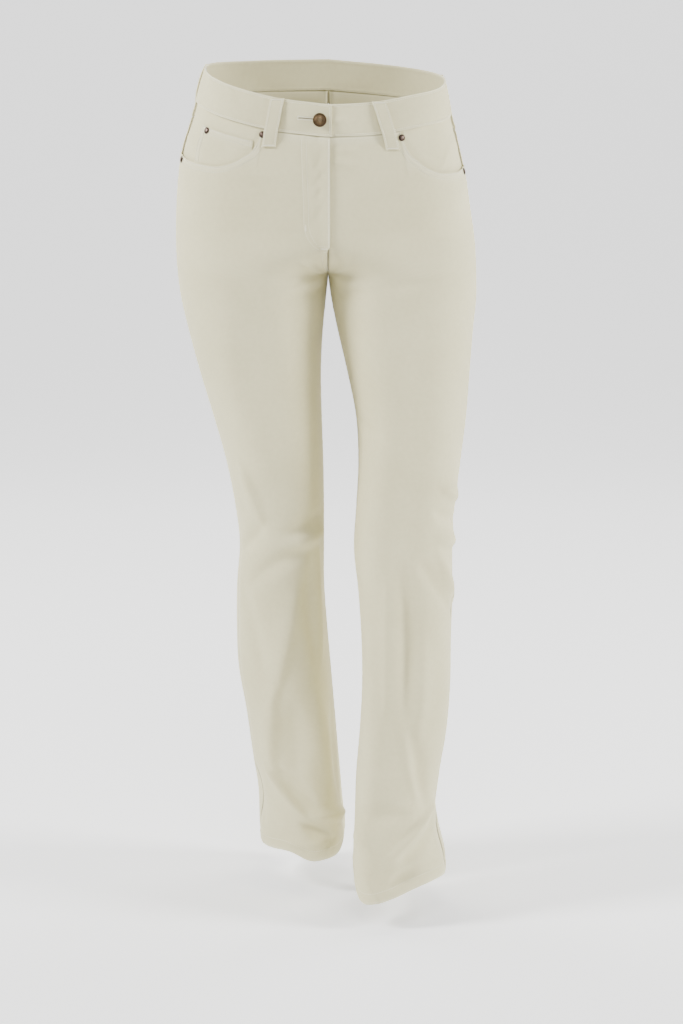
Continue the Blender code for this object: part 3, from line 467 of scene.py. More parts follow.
    @staticmethod
    def one_fold(row: FoldRow, distance: np.ndarray, z: np.ndarray, whole: np.ndarray) -> np.ndarray:
        """One fold's height at each point, over a curve through its three points."""
        reach = 3.2 * row.width
        heights = (row.z, row.mid_z, row.end_z)
        near = (z > min(heights) - reach) & (z < max(heights) + reach)
        out = np.zeros(len(z))
        if not near.any():
            return out
        d, h, w = distance[near], z[near], whole[near]
        best = np.full(len(d), 1e9)
        share, side = np.zeros(len(d)), np.zeros(len(d))
        steps = 8
        for k in range(steps):
            ends = []
            for t in (k / steps, (k + 1) / steps):
                p = (1 - t) ** 2 * row.place + 2 * t * (1 - t) * row.mid_place + t * t * row.end_place
                q = (1 - t) ** 2 * row.z + 2 * t * (1 - t) * row.mid_z + t * t * row.end_z
                ends.append((p * w, q))
            (x0, y0), (x1, y1) = ends
            run = (x1 - x0) ** 2 + (y1 - y0) ** 2
            s = np.clip(((d - x0) * (x1 - x0) + (h - y0) * (y1 - y0)) / run, 0, 1)
            off = np.hypot(d - x0 - s * (x1 - x0), h - y0 - s * (y1 - y0))
            closer = off < best
            best = np.where(closer, off, best)
            share = np.where(closer, (k + s) / steps, share)
            side = np.where(closer, np.sign((x1 - x0) * (h - y0) - (y1 - y0) * (d - x0)), side)
        width = row.width * (1 + row.lean * side) * (0.55 + 0.45 * np.sin(math.pi * share))
        fade = 0.25 + 0.75 * np.sin(math.pi * share) ** 0.8
        out[near] = row.height * fade * hump(best, width)
        return out


@dataclass
class TrousersForm:
    """The whole outer face, and the lines of its seams and edges."""

    band_height: float = 0.042
    yoke_at_side: float = 0.024
    yoke_at_back: float = 0.062
    level: float = -0.075
    mouth_corner: dict = field(default_factory=lambda: {Half.RIGHT: 0.085, Half.LEFT: 0.096})
    slope_step: float = 0.0015

    def __post_init__(self) -> None:
        """Makes the two halves and the edges' curves."""
        self.halves = {half: LegForm(half) for half in Half}
        self.waist = TableCurve(WAIST_EDGE)
        self.hem = TableCurve(HEM_EDGE)
        self.mouth = TableCurve(MOUTH)

    def across(self, half: Half, distance: np.ndarray, z: np.ndarray) -> tuple[np.ndarray, np.ndarray]:
        """Whether points lie past a half's ends, and their distance on the half they lie on."""
        whole, other = self.halves[half].whole(z), self.halves[half.other].whole(z)
        before, after = distance < 0, distance > whole
        swap = (z > self.halves[half].crotch_z) & (before | after)
        folded = np.where(before, -distance, other - (distance - whole))
        wrapped = np.where(before, distance + whole, np.where(after, distance - whole, distance))
        return swap, np.where(swap, folded, wrapped)

    def base(self, half: Half, distance: np.ndarray, z: np.ndarray, method: str) -> np.ndarray:
        """The face or its folds, at distances that may run past the half's ends."""
        swap, distance = self.across(half, distance, z)
        out = getattr(self.halves[half], method)(distance, z)
        if swap.any():
            out[swap] = getattr(self.halves[half.other], method)(distance[swap], z[swap])
        return out

    def normal(self, half: Half, distance: np.ndarray, z: np.ndarray) -> np.ndarray:
        """The outward direction of the face without its folds."""
        step = self.slope_step
        d, h = np.ravel(distance).astype(float), np.ravel(z).astype(float)
        points = [
            self.base(half, d + a * step, h + b * step, "plain_point")
            for a, b in ((1, 0), (-1, 0), (0, 1), (0, -1))
        ]
        round_it, up_it = points[0] - points[1], points[2] - points[3]
        found = np.cross(round_it, up_it) * half.value
        return found / np.linalg.norm(found, axis=1)[:, None]

    def place(self, half: Half, distance: np.ndarray, z: np.ndarray, lift: np.ndarray) -> np.ndarray:
        """Points on the cloth.

        Args:
            half: The half that the distances start on.
            distance: Distances round it.
            z: Heights.
            lift: How far out from the outer face each point lies.

        Returns:
            An array of points, of the arguments' shape.
        """
        distance, z, lift = np.broadcast_arrays(np.asarray(distance, float), z, lift)
        d, h = distance.ravel(), z.ravel().astype(float)
        out = self.base(half, d, h, "fold_height") + lift.ravel()
        points = self.base(half, d, h, "plain_point") + out[:, None] * self.normal(half, d, h)
        gap = self.halves[half].seam_gap / 2
        own = (d >= 0) & (h > self.halves[half].crotch_z + 0.0012) & ~self.across(half, d, h)[0]
        near = np.maximum(points[:, 0] * half.value, gap) * half.value
        points[:, 0] = np.where(own, near, points[:, 0])
        return points.reshape(distance.shape + (3,))

    def whole(self, half: Half, z: np.ndarray) -> np.ndarray:
        """The distance round a half, for heights of any shape."""
        return self.halves[half].whole(np.ravel(z)).reshape(np.shape(z))

    def outseam(self, half: Half, z: np.ndarray) -> np.ndarray:
        """The distance from the inner front to the outseam."""
        flat = np.ravel(z)
        leg = self.halves[half]
        return (leg.side(flat) - leg.seams.at("outseam", flat)).reshape(np.shape(z))

    def inseam(self, half: Half, z: np.ndarray) -> np.ndarray:
        """How far the inseam lies forward of the innermost line."""
        return self.halves[half].seams.at("inseam", z)

    def waist_z(self, half: Half, place: np.ndarray) -> np.ndarray:
        """The height of the waistband's top edge. A place below 0 lies on the other half."""
        here = self.waist.at(half.word, np.abs(place))
        there = self.waist.at(half.other.word, np.abs(place))
        return np.where(np.less(place, 0), there, here)

    def band_seam_z(self, half: Half, place: np.ndarray) -> np.ndarray:
        """The height of the seam under the waistband."""
        return self.waist_z(half, place) - self.band_height

    def yoke_seam_z(self, half: Half, place: np.ndarray) -> np.ndarray:
        """The height of the seam under the yoke."""
        share = np.clip(2 * np.asarray(place) - 1, 0, 1)
        drop = self.yoke_at_side + (self.yoke_at_back - self.yoke_at_side) * share
        return self.band_seam_z(half, place) - drop

    def side_at_level(self, half: Half) -> float:
        """The distance to the outseam just under the waistband."""
        return float(self.outseam(half, np.array([self.level]))[0])

    def whole_at_level(self, half: Half) -> float:
        """The distance round a half just under the waistband."""
        return float(self.whole(half, np.array([self.level]))[0])

    def mouth_share(self, half: Half, share: np.ndarray) -> np.ndarray:
        """How far along the pocket's mouth a share of the front's width lies."""
        corner = self.mouth_corner[half] / self.side_at_level(half)
        return np.clip((share - corner) / (1 - corner), 0.0, 1.0)

    def mouth_z(self, half: Half, share: np.ndarray) -> np.ndarray:
        """The height of the front's top edge, at shares of its width."""
        place = share * self.side_at_level(half) / self.whole_at_level(half)
        return self.band_seam_z(half, place) - self.mouth.at("drop", self.mouth_share(half, share))


@dataclass(frozen=True)
class MoleskinFinish:
    """Brushed cotton moleskin: a dense short nap over a fine satin weave."""

    name: str = "moleskin"
    pale: tuple = (0.700, 0.655, 0.415)
    deep: tuple = (0.610, 0.566, 0.340)
    worn: tuple = (0.800, 0.765, 0.560)
    # crease: painted shade colour, mixed in along seam grooves and just under the waistband's edge
    crease: tuple = (0.210, 0.180, 0.105)
    roughness: float = 0.86
    sheen: float = 0.14
    nap_depth: float = 0.00010
    weave_pitch: float = 0.00062

    def material(self) -> bpy.types.Material:
        """The cloth's material, patterned over the cut's own coordinates.

        Returns:
            The material.
        """
        material = bpy.data.materials.new(self.name)
        material.use_nodes = True
        tree = material.node_tree
        shader = tree.nodes["Principled BSDF"]
        cut = tree.nodes.new("ShaderNodeUVMap")
        cut.uv_map = "UVMap"
        cloud = self.noise(tree, cut, 9.0, 3.0)
        mottle = self.noise(tree, cut, 150.0, 4.0)
        nap = self.noise(tree, cut, 1500.0, 5.0)
        # The wear attribute holds rubbed wear above 0 and painted seam shade below 0.
        wear = tree.nodes.new("ShaderNodeAttribute")
        wear.attribute_name = "wear"
        both = self.maths(tree, "MULTIPLY_ADD", cloud.outputs["Fac"], 0.55, 0.0)
        shade = self.maths(tree, "MULTIPLY_ADD", mottle.outputs["Fac"], 0.30, both)
        shade = self.maths(tree, "MULTIPLY_ADD", nap.outputs["Fac"], 0.25, shade)
        tones = tree.nodes.new("ShaderNodeValToRGB")
        tones.color_ramp.elements[0].position = 0.38
        tones.color_ramp.elements[0].color = (*self.deep, 1.0)
        tones.color_ramp.elements[1].position = 0.72
        tones.color_ramp.elements[1].color = (*self.pale, 1.0)
        tree.links.new(shade, tones.inputs["Fac"])
        rubbed = tree.nodes.new("ShaderNodeMix")
        rubbed.data_type = "RGBA"
        tree.links.new(wear.outputs["Fac"], rubbed.inputs["Factor"])
        tree.links.new(tones.outputs["Color"], rubbed.inputs["A"])
        rubbed.inputs["B"].default_value = (*self.worn, 1.0)
        # Painted shade: where the attribute is below 0 the crease colour is mixed in, darkening seam
        # grooves and the line under the waistband.
        sunk = self.maths(tree, "MULTIPLY_ADD", wear.outputs["Fac"], -1.0, 0.0)
        with_painted_seam_shade = tree.nodes.new("ShaderNodeMix")
        with_painted_seam_shade.data_type = "RGBA"
        tree.links.new(sunk, with_painted_seam_shade.inputs["Factor"])
        tree.links.new(rubbed.outputs["Result"], with_painted_seam_shade.inputs["A"])
        with_painted_seam_shade.inputs["B"].default_value = (*self.crease, 1.0)
        tree.links.new(with_painted_seam_shade.outputs["Result"], shader.inputs["Base Color"])
        rough = self.maths(tree, "MULTIPLY_ADD", mottle.outputs["Fac"], 0.12, self.roughness - 0.06)
        tree.links.new(rough, shader.inputs["Roughness"])
        shader.inputs["Sheen Weight"].default_value = self.sheen
        shader.inputs["Sheen Roughness"].default_value = 0.45
        shader.inputs["Sheen Tint"].default_value = (1.0, 0.98, 0.92, 1.0)
        shader.inputs["Specular IOR Level"].default_value = 0.25
        self.relief(tree, shader, cut, nap)
        return material

    def relief(
        self, tree: bpy.types.NodeTree, shader: bpy.types.Node, cut: bpy.types.Node, nap: bpy.types.Node
    ) -> None:
        """Adds the weave's and the nap's relief.

        Args:
            tree: The material's nodes.
            shader: The surface shader.
            cut: The cut's coordinates.
            nap: The nap's noise.
        """
        weave = tree.nodes.new("ShaderNodeTexWave")
        weave.bands_direction = "DIAGONAL"
        weave.inputs["Scale"].default_value = 0.314 / self.weave_pitch
        weave.inputs["Distortion"].default_value = 1.6
        weave.inputs["Detail"].default_value = 2.0
        tree.links.new(cut.outputs["UV"], weave.inputs["Vector"])
        mixed = self.maths(tree, "MULTIPLY_ADD", weave.outputs["Fac"], 0.35, nap.outputs["Fac"])
        bump = tree.nodes.new("ShaderNodeBump")
        bump.inputs["Strength"].default_value = 0.55
        bump.inputs["Distance"].default_value = self.nap_depth
        tree.links.new(mixed, bump.inputs["Height"])
        tree.links.new(bump.outputs["Normal"], shader.inputs["Normal"])

    @staticmethod
    def noise(
        tree: bpy.types.NodeTree, cut: bpy.types.Node, scale: float, detail: float
    ) -> bpy.types.Node:
        """A noise texture over the cut.

        Args:
            tree: The material's nodes.
            cut: The node with the cut's coordinates.
            scale: Patches to a metre.
            detail: How fine its layers go.

        Returns:
            The noise node.
        """
        node = tree.nodes.new("ShaderNodeTexNoise")
        node.inputs["Scale"].default_value = scale
        node.inputs["Detail"].default_value = detail
        node.inputs["Roughness"].default_value = 0.6
        tree.links.new(cut.outputs["UV"], node.inputs["Vector"])
        return node

    @staticmethod
    def maths(
        tree: bpy.types.NodeTree,
        operation: str,
        first: bpy.types.NodeSocket,
        factor: float,
        last: float | bpy.types.NodeSocket,
    ) -> bpy.types.NodeSocket:
        """A maths node.

        Args:
            tree: The material's nodes.
            operation: What it does.
            first: Its first value's socket.
            factor: Its second value.
            last: Its third value, or that value's socket.

        Returns:
            Its output.
        """
        node = tree.nodes.new("ShaderNodeMath")
        node.operation = operation
        tree.links.new(first, node.inputs[0])
        node.inputs[1].default_value = factor
        if isinstance(last, float):
            node.inputs[2].default_value = last
        else:
            tree.links.new(last, node.inputs[2])
        return node.outputs[0]


@dataclass(frozen=True)
class ThreadFinish:
    """Tone-on-tone topstitching thread, a little paler than the cloth."""

    name: str = "topstitch_thread"
    color: tuple = (0.850, 0.815, 0.620)
    roughness: float = 0.62
    twist_pitch: float = 0.0007

    def material(self) -> bpy.types.Material:
        """The thread's material, with the twist of its plies."""
        material = bpy.data.materials.new(self.name)
        material.use_nodes = True
        tree = material.node_tree
        shader = tree.nodes["Principled BSDF"]
        place = tree.nodes.new("ShaderNodeTexCoord")
        twist = tree.nodes.new("ShaderNodeTexWave")
        twist.bands_direction = "DIAGONAL"
        twist.inputs["Scale"].default_value = 0.314 / self.twist_pitch
        twist.inputs["Distortion"].default_value = 0.8
        tree.links.new(place.outputs["Object"], twist.inputs["Vector"])
        tones = tree.nodes.new("ShaderNodeValToRGB")
        tones.color_ramp.elements[0].color = (*(0.86 * c for c in self.color), 1.0)
        tones.color_ramp.elements[1].color = (*self.color, 1.0)
        tree.links.new(twist.outputs["Fac"], tones.inputs["Fac"])
        tree.links.new(tones.outputs["Color"], shader.inputs["Base Color"])
        bump = tree.nodes.new("ShaderNodeBump")
        bump.inputs["Strength"].default_value = 0.4
        bump.inputs["Distance"].default_value = 0.00008
        tree.links.new(twist.outputs["Fac"], bump.inputs["Height"])
        tree.links.new(bump.outputs["Normal"], shader.inputs["Normal"])
        shader.inputs["Roughness"].default_value = self.roughness
        shader.inputs["Sheen Weight"].default_value = 0.2
        return material


@dataclass(frozen=True)
class MetalFinish:
    """Antiqued metal: dark in its hollows and rubbed bright on its high places."""

    name: str
    dark: tuple
    bright: tuple
    middle: tuple
    roughness: float = 0.42

    def material(self) -> bpy.types.Material:
        """The metal's material, rubbed by the wear attribute on its mesh."""
        material = bpy.data.materials.new(self.name)
        material.use_nodes = True
        tree = material.node_tree
        shader = tree.nodes["Principled BSDF"]
        shader.inputs["Metallic"].default_value = 1.0
        place = tree.nodes.new("ShaderNodeTexCoord")
        spots = tree.nodes.new("ShaderNodeTexNoise")
        spots.inputs["Scale"].default_value = 900.0
        spots.inputs["Detail"].default_value = 6.0
        spots.inputs["Roughness"].default_value = 0.7
        tree.links.new(place.outputs["Object"], spots.inputs["Vector"])
        wear = tree.nodes.new("ShaderNodeAttribute")
        wear.attribute_name = "wear"
        rub = tree.nodes.new("ShaderNodeMath")
        rub.operation = "MULTIPLY_ADD"
        tree.links.new(spots.outputs["Fac"], rub.inputs[0])
        rub.inputs[1].default_value = 0.7
        tree.links.new(wear.outputs["Fac"], rub.inputs[2])
        tones = tree.nodes.new("ShaderNodeValToRGB")
        ramp = tones.color_ramp
        ramp.elements[0].position, ramp.elements[0].color = 0.30, (*self.dark, 1.0)
        ramp.elements[1].position, ramp.elements[1].color = 1.25 / 1.3, (*self.bright, 1.0)
        half_way = ramp.elements.new(0.66)
        half_way.color = (*self.middle, 1.0)
        tree.links.new(rub.outputs[0], tones.inputs["Fac"])
        tree.links.new(tones.outputs["Color"], shader.inputs["Base Color"])
        rough = tree.nodes.new("ShaderNodeMapRange")
        rough.inputs["To Min"].default_value = self.roughness + 0.16
        rough.inputs["To Max"].default_value = self.roughness - 0.10
        tree.links.new(rub.outputs[0], rough.inputs["Value"])
        tree.links.new(rough.outputs["Result"], shader.inputs["Roughness"])
        bump = tree.nodes.new("ShaderNodeBump")
        bump.inputs["Strength"].default_value = 0.35
        bump.inputs["Distance"].default_value = 0.00012
        tree.links.new(spots.outputs["Fac"], bump.inputs["Height"])
        tree.links.new(bump.outputs["Normal"], shader.inputs["Normal"])
        return material


class Wardrobe:
    """The finishes' materials, each made once."""

    def __init__(self) -> None:
        """Makes the materials."""
        self.cloth = MoleskinFinish().material()
        self.thread = ThreadFinish().material()
        # Painted shade: a dark thread material for the grains that darken the buttonhole's slit.
        self.painted_slit_shade = ThreadFinish("painted_slit_shade_material", (0.115, 0.098, 0.062), 0.9).material()
        self.button = MetalFinish(
            "antique_brass", (0.030, 0.020, 0.012), (0.62, 0.46, 0.27), (0.19, 0.125, 0.066)
        ).material()
        self.rivet = MetalFinish(
            "antique_copper", (0.030, 0.021, 0.017), (0.36, 0.26, 0.21), (0.120, 0.085, 0.068), 0.46
        ).material()


def pick_only(piece: bpy.types.Object) -> None:
    """Selects one object and makes it active."""
    bpy.ops.object.select_all(action="DESELECT")
    piece.select_set(True)
    bpy.context.view_layer.objects.active = piece


def apply_all(piece: bpy.types.Object) -> None:
    """Applies a piece's modifiers in order."""
    pick_only(piece)
    for name in [modifier.name for modifier in piece.modifiers]:
        bpy.ops.object.modifier_apply(modifier=name)


def dress(piece: bpy.types.Object, material: bpy.types.Material) -> None:
    """Gives a finished piece its material and its body.

    Args:
        piece: The piece, in place.
        material: Its material.
    """
    piece.data.materials.clear()
    piece.data.materials.append(material)
    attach(piece, "root")


class Cut(NamedTuple):
    """A piece as it was cut: its width and length, its area and how it is held."""

    width: float
    length: float
    area: float
    held: str


@dataclass
class Sheet:
    """A piece of cloth on the trousers' form, with its cut."""

    form: TrousersForm
    wardrobe: Wardrobe
    half: Half
    thickness: float = 0.0012
    rim: float = 0.00038
    edge_marks: tuple = (0.0, 0.5, 1.1, 1.8, 2.6, 3.6, 5.0, 6.6, 8.2, 9.8, 12.0)

    def lift(self, distance: np.ndarray, z: np.ndarray) -> np.ndarray:
        """How far out from the form the piece's outer side lies."""
        return np.zeros(np.shape(distance))

    def point(self, distance: np.ndarray, z: np.ndarray, above: float = 0.0) -> np.ndarray:
        """Points on the piece's outer side, raised by above."""
        return self.form.place(self.half, distance, z, self.lift(distance, z) + above)

    def graded(self, size: float, spacing: float, extra: tuple = ()) -> np.ndarray:
        """Shares from 0 to 1, close together at both ends.

        Args:
            size: The real length that they divide.
            spacing: The spacing away from the ends.
            extra: More marks, in metres.

        Returns:
            The shares, in rising order.
        """
        near = np.array(self.edge_marks) * MM
        start = near[-1] + spacing
        middle = np.linspace(start, size - start, max(2, round((size - 2 * start) / spacing)))
        marks = np.concatenate([near, middle, size - near, np.array(extra)])
        marks = np.unique(np.round(np.clip(marks, 0, size), 6))
        keep = np.concatenate([[True], np.diff(marks) > 0.35 * MM])
        marks = marks[keep]
        marks[-1] = size
        return marks / size

    def make(self, name: str, distance: np.ndarray, z: np.ndarray, wear: np.ndarray) -> bpy.types.Object:
        """Makes the piece from a grid over the form.

        Args:
            name: The piece's name.
            distance: The grid's distances round the half.
            z: Its heights.
            wear: How rubbed each point is; below 0, how much painted seam shade it carries.

        Returns:
            The piece, with its thickness.
        """
        points = self.point(distance, z)
        cut = np.stack([distance, -z], axis=2)
        if self.half is Half.LEFT:
            points, cut, wear = points[:, ::-1], cut[:, ::-1], wear[:, ::-1]
        return self.from_points(name, points, cut, wear)

    def from_points(
        self, name: str, points: np.ndarray, cut: np.ndarray, wear: np.ndarray
    ) -> bpy.types.Object:
        """Lays a grid primitive over the points, and thickens it inwards.

        Args:
            name: The piece's name.
            points: Rows of points, whose outside faces out.
            cut: The cut's coordinates at each point.
            wear: How rubbed each point is; below 0, how much painted seam shade it carries.

        Returns:
            The piece.
        """
        rows, columns = points.shape[:2]
        bpy.ops.object.select_all(action="DESELECT")
        bpy.ops.mesh.primitive_grid_add(x_subdivisions=columns - 1, y_subdivisions=rows - 1, size=1.0)
        piece = bpy.context.object
        piece.name = piece.data.name = name
        mesh = piece.data
        mesh.vertices.foreach_set("co", np.ascontiguousarray(points, dtype=np.float32).ravel())
        corners = np.empty(len(mesh.loops), dtype=np.int32)
        mesh.loops.foreach_get("vertex_index", corners)
        flat = cut.reshape(-1, 2)[corners]
        mesh.uv_layers["UVMap"].data.foreach_set("uv", flat.astype(np.float32).ravel())
        rub = mesh.attributes.new("wear", "FLOAT", "POINT")
        rub.data.foreach_set("value", np.ascontiguousarray(wear, dtype=np.float32).ravel())
        mesh.update()
        wall = piece.modifiers.new("wall", "SOLIDIFY")
        wall.thickness = self.thickness
        wall.offset = -1.0
        wall.use_even_offset = False
        rim = piece.modifiers.new("rim", "BEVEL")
        rim.width = self.rim
        rim.segments = 2
        rim.limit_method = "ANGLE"
        rim.angle_limit = math.radians(62)
        apply_all(piece)
        bpy.ops.object.shade_smooth()
        return piece

    def finish_piece(self, piece: bpy.types.Object, cut: Cut, *nodes: str) -> bpy.types.Object:
        """Dresses a cloth piece and puts it in its nodes' place.

        Args:
            piece: The piece.
            cut: How it was cut. Not used.
            *nodes: The frame's nodes that it stands for.

        Returns:
            The piece.
        """
        dress(piece, self.wardrobe.cloth)
        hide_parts(*nodes)
        LOG.info("%s: %d faces", piece.name, len(piece.data.polygons))
        return piece


def pucker(along: np.ndarray, pitch: float, seed: float) -> np.ndarray:
    """The small uneven ripples that stitching draws into a seam, from -1 to 1."""
    wave = np.sin(2 * math.pi * along / pitch + seed)
    wave = wave + 0.6 * np.sin(2 * math.pi * along / (pitch * 1.73) + 2.1 * seed)
    return wave * (0.55 + 0.45 * np.sin(2 * math.pi * along / (pitch * 7.3) + seed)) / 1.6


def seam_relief(off: np.ndarray, along: np.ndarray, rows: tuple = (), seed: float = 0.0) -> np.ndarray:
    """The relief of a sewn edge.

    Args:
        off: Distance in from the seam.
        along: Distance along it.
        rows: How far in each row of stitching lies.
        seed: Shifts the ripples.

    Returns:
        How far out the cloth lies.
    """
    ridge = 0.00045 * soft_step(off, 0.0, 0.0030) * (1 - soft_step(off, 0.0085, 0.0135))
    out = ridge - 0.00095 * hump(off, 0.0014)
    for row in rows:
        out = out - 0.00034 * hump(off - row, 0.0011)
    return out + 0.00022 * pucker(along, 0.0105, seed) * (1 - soft_step(off, 0.004, 0.018))


@dataclass
class LegPanel(Sheet):
    """What a front leg and a back leg share: their rows, hem and relief."""

    hem_z: float = -1.065
    hem_depth: float = 0.016
    low_z: float = -0.232
    spacing: float = 0.0036

    def rows(self, top: float) -> np.ndarray:
        """Row heights from the top seam's level to the hem's."""
        shares = self.graded(top - self.hem_z, self.spacing, (top - self.hem_z - self.hem_depth,))
        return top + (self.hem_z - top) * shares

    def heights(
        self, rows: np.ndarray, top_z: np.ndarray, level: float, place: np.ndarray
    ) -> np.ndarray:
        """Each row's height at each column.

        Args:
            rows: The rows' levels.
            top_z: The top edge's height at each column.
            level: The top seam's level.
            place: How far round each column lies at the hem.

        Returns:
            Heights, a row for each level.
        """
        z = np.repeat(rows[:, None], len(top_z), axis=1)
        top_share = np.clip((rows - self.low_z) / (level - self.low_z), 0, 1)[:, None]
        hem_share = 1 - soft_step(rows, self.hem_z + 0.020, self.hem_z + 0.100)[:, None]
        rise = self.form.hem.at(self.half.word, place)
        return z + top_share * (top_z - level)[None, :] + hem_share * rise[None, :]

    def hem_relief(self, distance: np.ndarray, z: np.ndarray) -> np.ndarray:
        """The turned-up hem: a little proud, with slanting ripples under its stitching."""
        whole = self.form.whole(self.half, z)
        edge = self.hem_z + self.form.hem.at(self.half.word, np.mod(distance / whole, 1.0))
        up = z - edge
        turn = 1 - soft_step(up, self.hem_depth - 0.001, self.hem_depth + 0.003)
        ripple = 0.00034 * pucker(distance + 0.8 * up, 0.0125, self.half.value + 2.0)
        roll = -0.0006 * hump(up, 0.0018)
        return turn * (0.0008 + ripple) + roll - 0.00040 * hump(up - self.hem_depth + 0.0015, 0.0013)

    def wear_at(self, offs: tuple) -> np.ndarray:
        """How rubbed the cloth is near its edges."""
        out = np.zeros(offs[0].shape)
        for off in offs:
            out = np.maximum(out, 0.45 * hump(off - 0.0024, 0.0012) + 0.22 * hump(off - 0.006, 0.0045))
        return out

    def with_painted_seam_shade(self, wear: np.ndarray, off: np.ndarray, depth: float = 0.9) -> np.ndarray:
        """Wear with painted shade along a seam's groove at off 0, as a value below 0."""
        # Painted shade: a dark band centred on the seam's groove.
        dark = depth * hump(np.maximum(off, 0), 0.0012)
        return np.where(dark > 0.12, -dark, wear)


@dataclass
class FrontLeg(LegPanel):
    """A front leg, its pocket's mouth cut away, with the fly's lap or underlap."""

    lap: float = 0.003
    lap_lift: float = 0.0021
    lap_full_z: float = -0.232
    lap_start_z: float = -0.262
    fly_bottom_z: float = -0.225
    fly_width: float = 0.032
    fly_marks: tuple = (23.0, 24.2, 25.2, 26.2, 27.2, 28.2, 29.2, 30.2, 31.2, 32.2, 33.2, 34.4)
    underlap: tuple = ((-0.028, -0.0030), (-0.019, -0.0022), (-0.010, -0.0013), (-0.004, -0.0006))
    cut: Cut = Cut(0.290, 1.010, 0.232, "hung")

    def columns(self) -> np.ndarray:
        """Shares of the front's width, close together at its edges and at the pocket's corner."""
        side = self.form.side_at_level(self.half)
        corner = self.form.mouth_corner[self.half]
        near = [corner + step * MM for step in (-1.5, 0.0, 0.6, 1.2, 2.0, 3.0, 4.2, 5.6, 7.2, 9.0)]
        if self.half is Half.RIGHT:
            near += [step * MM for step in self.fly_marks]
        return self.graded(side, self.spacing, tuple(near))

    def distances(self, shares: np.ndarray, z: np.ndarray) -> np.ndarray:
        """Distances of the columns at each height."""
        gap = self.form.halves[self.half].seam_gap / 2
        start = self.form.inseam(self.half, z) + gap
        return start + shares * (self.form.outseam(self.half, z) - gap - start)

    def mouth_gap(self, distance: np.ndarray, z: np.ndarray) -> np.ndarray:
        """How far below the pocket's mouth each point lies, measured across the mouth's line."""
        share = distance / self.form.outseam(self.half, z)
        drop = self.form.mouth_z(self.half, share) - z
        ahead = self.form.mouth_z(self.half, share + 0.012) - self.form.mouth_z(self.half, share - 0.012)
        slope = ahead / (0.024 * self.form.side_at_level(self.half))
        return drop / np.sqrt(1 + slope**2)

    def fly_line(self, z: np.ndarray) -> np.ndarray:
        """How far from the centre the fly's curved stitching lies."""
        top = 0.034 - 0.003 * soft_step(-z, 0.082, 0.190)
        return top * np.sqrt(np.clip(1 - np.clip((-0.190 - z) / 0.041, 0, 1) ** 2.2, 0, 1))

    def lift(self, distance: np.ndarray, z: np.ndarray) -> np.ndarray:
        """The front's relief: seams, pocket's mouth, fly and hem."""
        out = seam_relief(self.form.outseam(self.half, z) - distance, z, (), 1.0)
        inner = distance - self.form.inseam(self.half, z)
        crotch = self.form.halves[self.half].crotch_z
        out = out + np.where(z < crotch + 0.01, seam_relief(inner, z, (), 2.0), 0.0)
        low_rise = (z > crotch) & (z < self.fly_bottom_z)
        out = out + np.where(low_rise, seam_relief(inner, z, (0.002, 0.008), 4.0), 0.0)
        mouth = self.mouth_gap(distance, z)
        on_mouth = self.form.mouth_share(self.half, distance / self.form.outseam(self.half, z)) > 0
        edge = 0.00080 * (1 - soft_step(mouth, 0.0090, 0.0135)) - 0.00040 * hump(mouth, 0.0009)
        edge = edge - 0.00036 * (hump(mouth - 0.0022, 0.0010) + hump(mouth - 0.0084, 0.0010))
        edge = edge + 0.00022 * pucker(distance, 0.0110, 3.0) * (1 - soft_step(mouth, 0.006, 0.02))
        out = out + np.where(on_mouth & (mouth < 0.05), edge, 0.0)
        out = out + self.hem_relief(distance, z)
        if self.half is Half.RIGHT:
            return out + self.fly_relief(distance, z)
        places, depths = zip(*self.underlap, (0.0, 0.0))
        sunk = np.interp(distance, places, depths)
        return np.where(distance < 0, sunk, out)

    def fly_relief(self, distance: np.ndarray, z: np.ndarray) -> np.ndarray:
        """The fly's lap: lifted at its edge and layered inside its curved stitching."""
        lap = self.lap_lift * (1 - soft_step(distance, 0, self.fly_width))
        lap = lap * soft_step(z, self.lap_start_z, self.lap_full_z)
        line = self.fly_line(z)
        inside = soft_step(line - distance, -0.001, 0.0012) * soft_step(z, -0.2315, -0.229)
        rows = hump(distance - line, 0.0012) + hump(distance - line + 0.0062, 0.0012)
        wrinkle = 0.0014 * hump(distance - 0.026 - 0.55 * (z + 0.110), 0.0036)
        wrinkle = wrinkle * hump(z + 0.128, 0.028)
        slant = z + 0.9 * distance
        folds = 0.00075 * np.sin(slant / 0.0046 + 2.2 * np.sin(slant / 0.021))
        folds = folds * hump(distance - 0.013, 0.009)
        edge = 0.0011 * hump(distance + 0.0004, 0.0036) * soft_step(z, self.lap_start_z, self.lap_full_z)
        hollow = -0.0016 * hump(distance - 0.012, 0.007)
        return lap + edge + inside * (0.00070 + folds + hollow) - 0.00036 * rows * inside + wrinkle

    def build(self) -> bpy.types.Object:
        """Makes the front leg.

        Returns:
            The piece.
        """
        shares = self.columns()
        gap = self.form.halves[self.half].seam_gap
        top_z = self.form.mouth_z(self.half, shares) - gap
        rows = self.rows(float(top_z[0]))
        z = self.heights(rows, top_z, float(top_z[0]), shares * 0.5)
        distance = self.distances(shares[None, :], z)
        if self.half is Half.RIGHT:
            reach = self.lap * (z[:, :6] > self.fly_bottom_z)
            distance[:, :6] -= reach * (1 - shares[:6] / shares[6])
        side = self.form.outseam(self.half, z) - distance
        mouth = np.abs(self.mouth_gap(distance, z))
        wear = self.wear_at((side, mouth))
        whole = self.form.whole(self.half, z)
        edge = self.hem_z + self.form.hem.at(self.half.word, distance / whole)
        wear = np.maximum(wear, 0.5 * hump(z - edge, 0.003))
        inner = distance - self.form.inseam(self.half, z)
        legs = z < self.fly_bottom_z - 0.004
        if self.half is Half.RIGHT:
            wear = np.maximum(wear, np.where(legs, 0.0, 0.7 * hump(inner + self.lap - 0.001, 0.0018)))
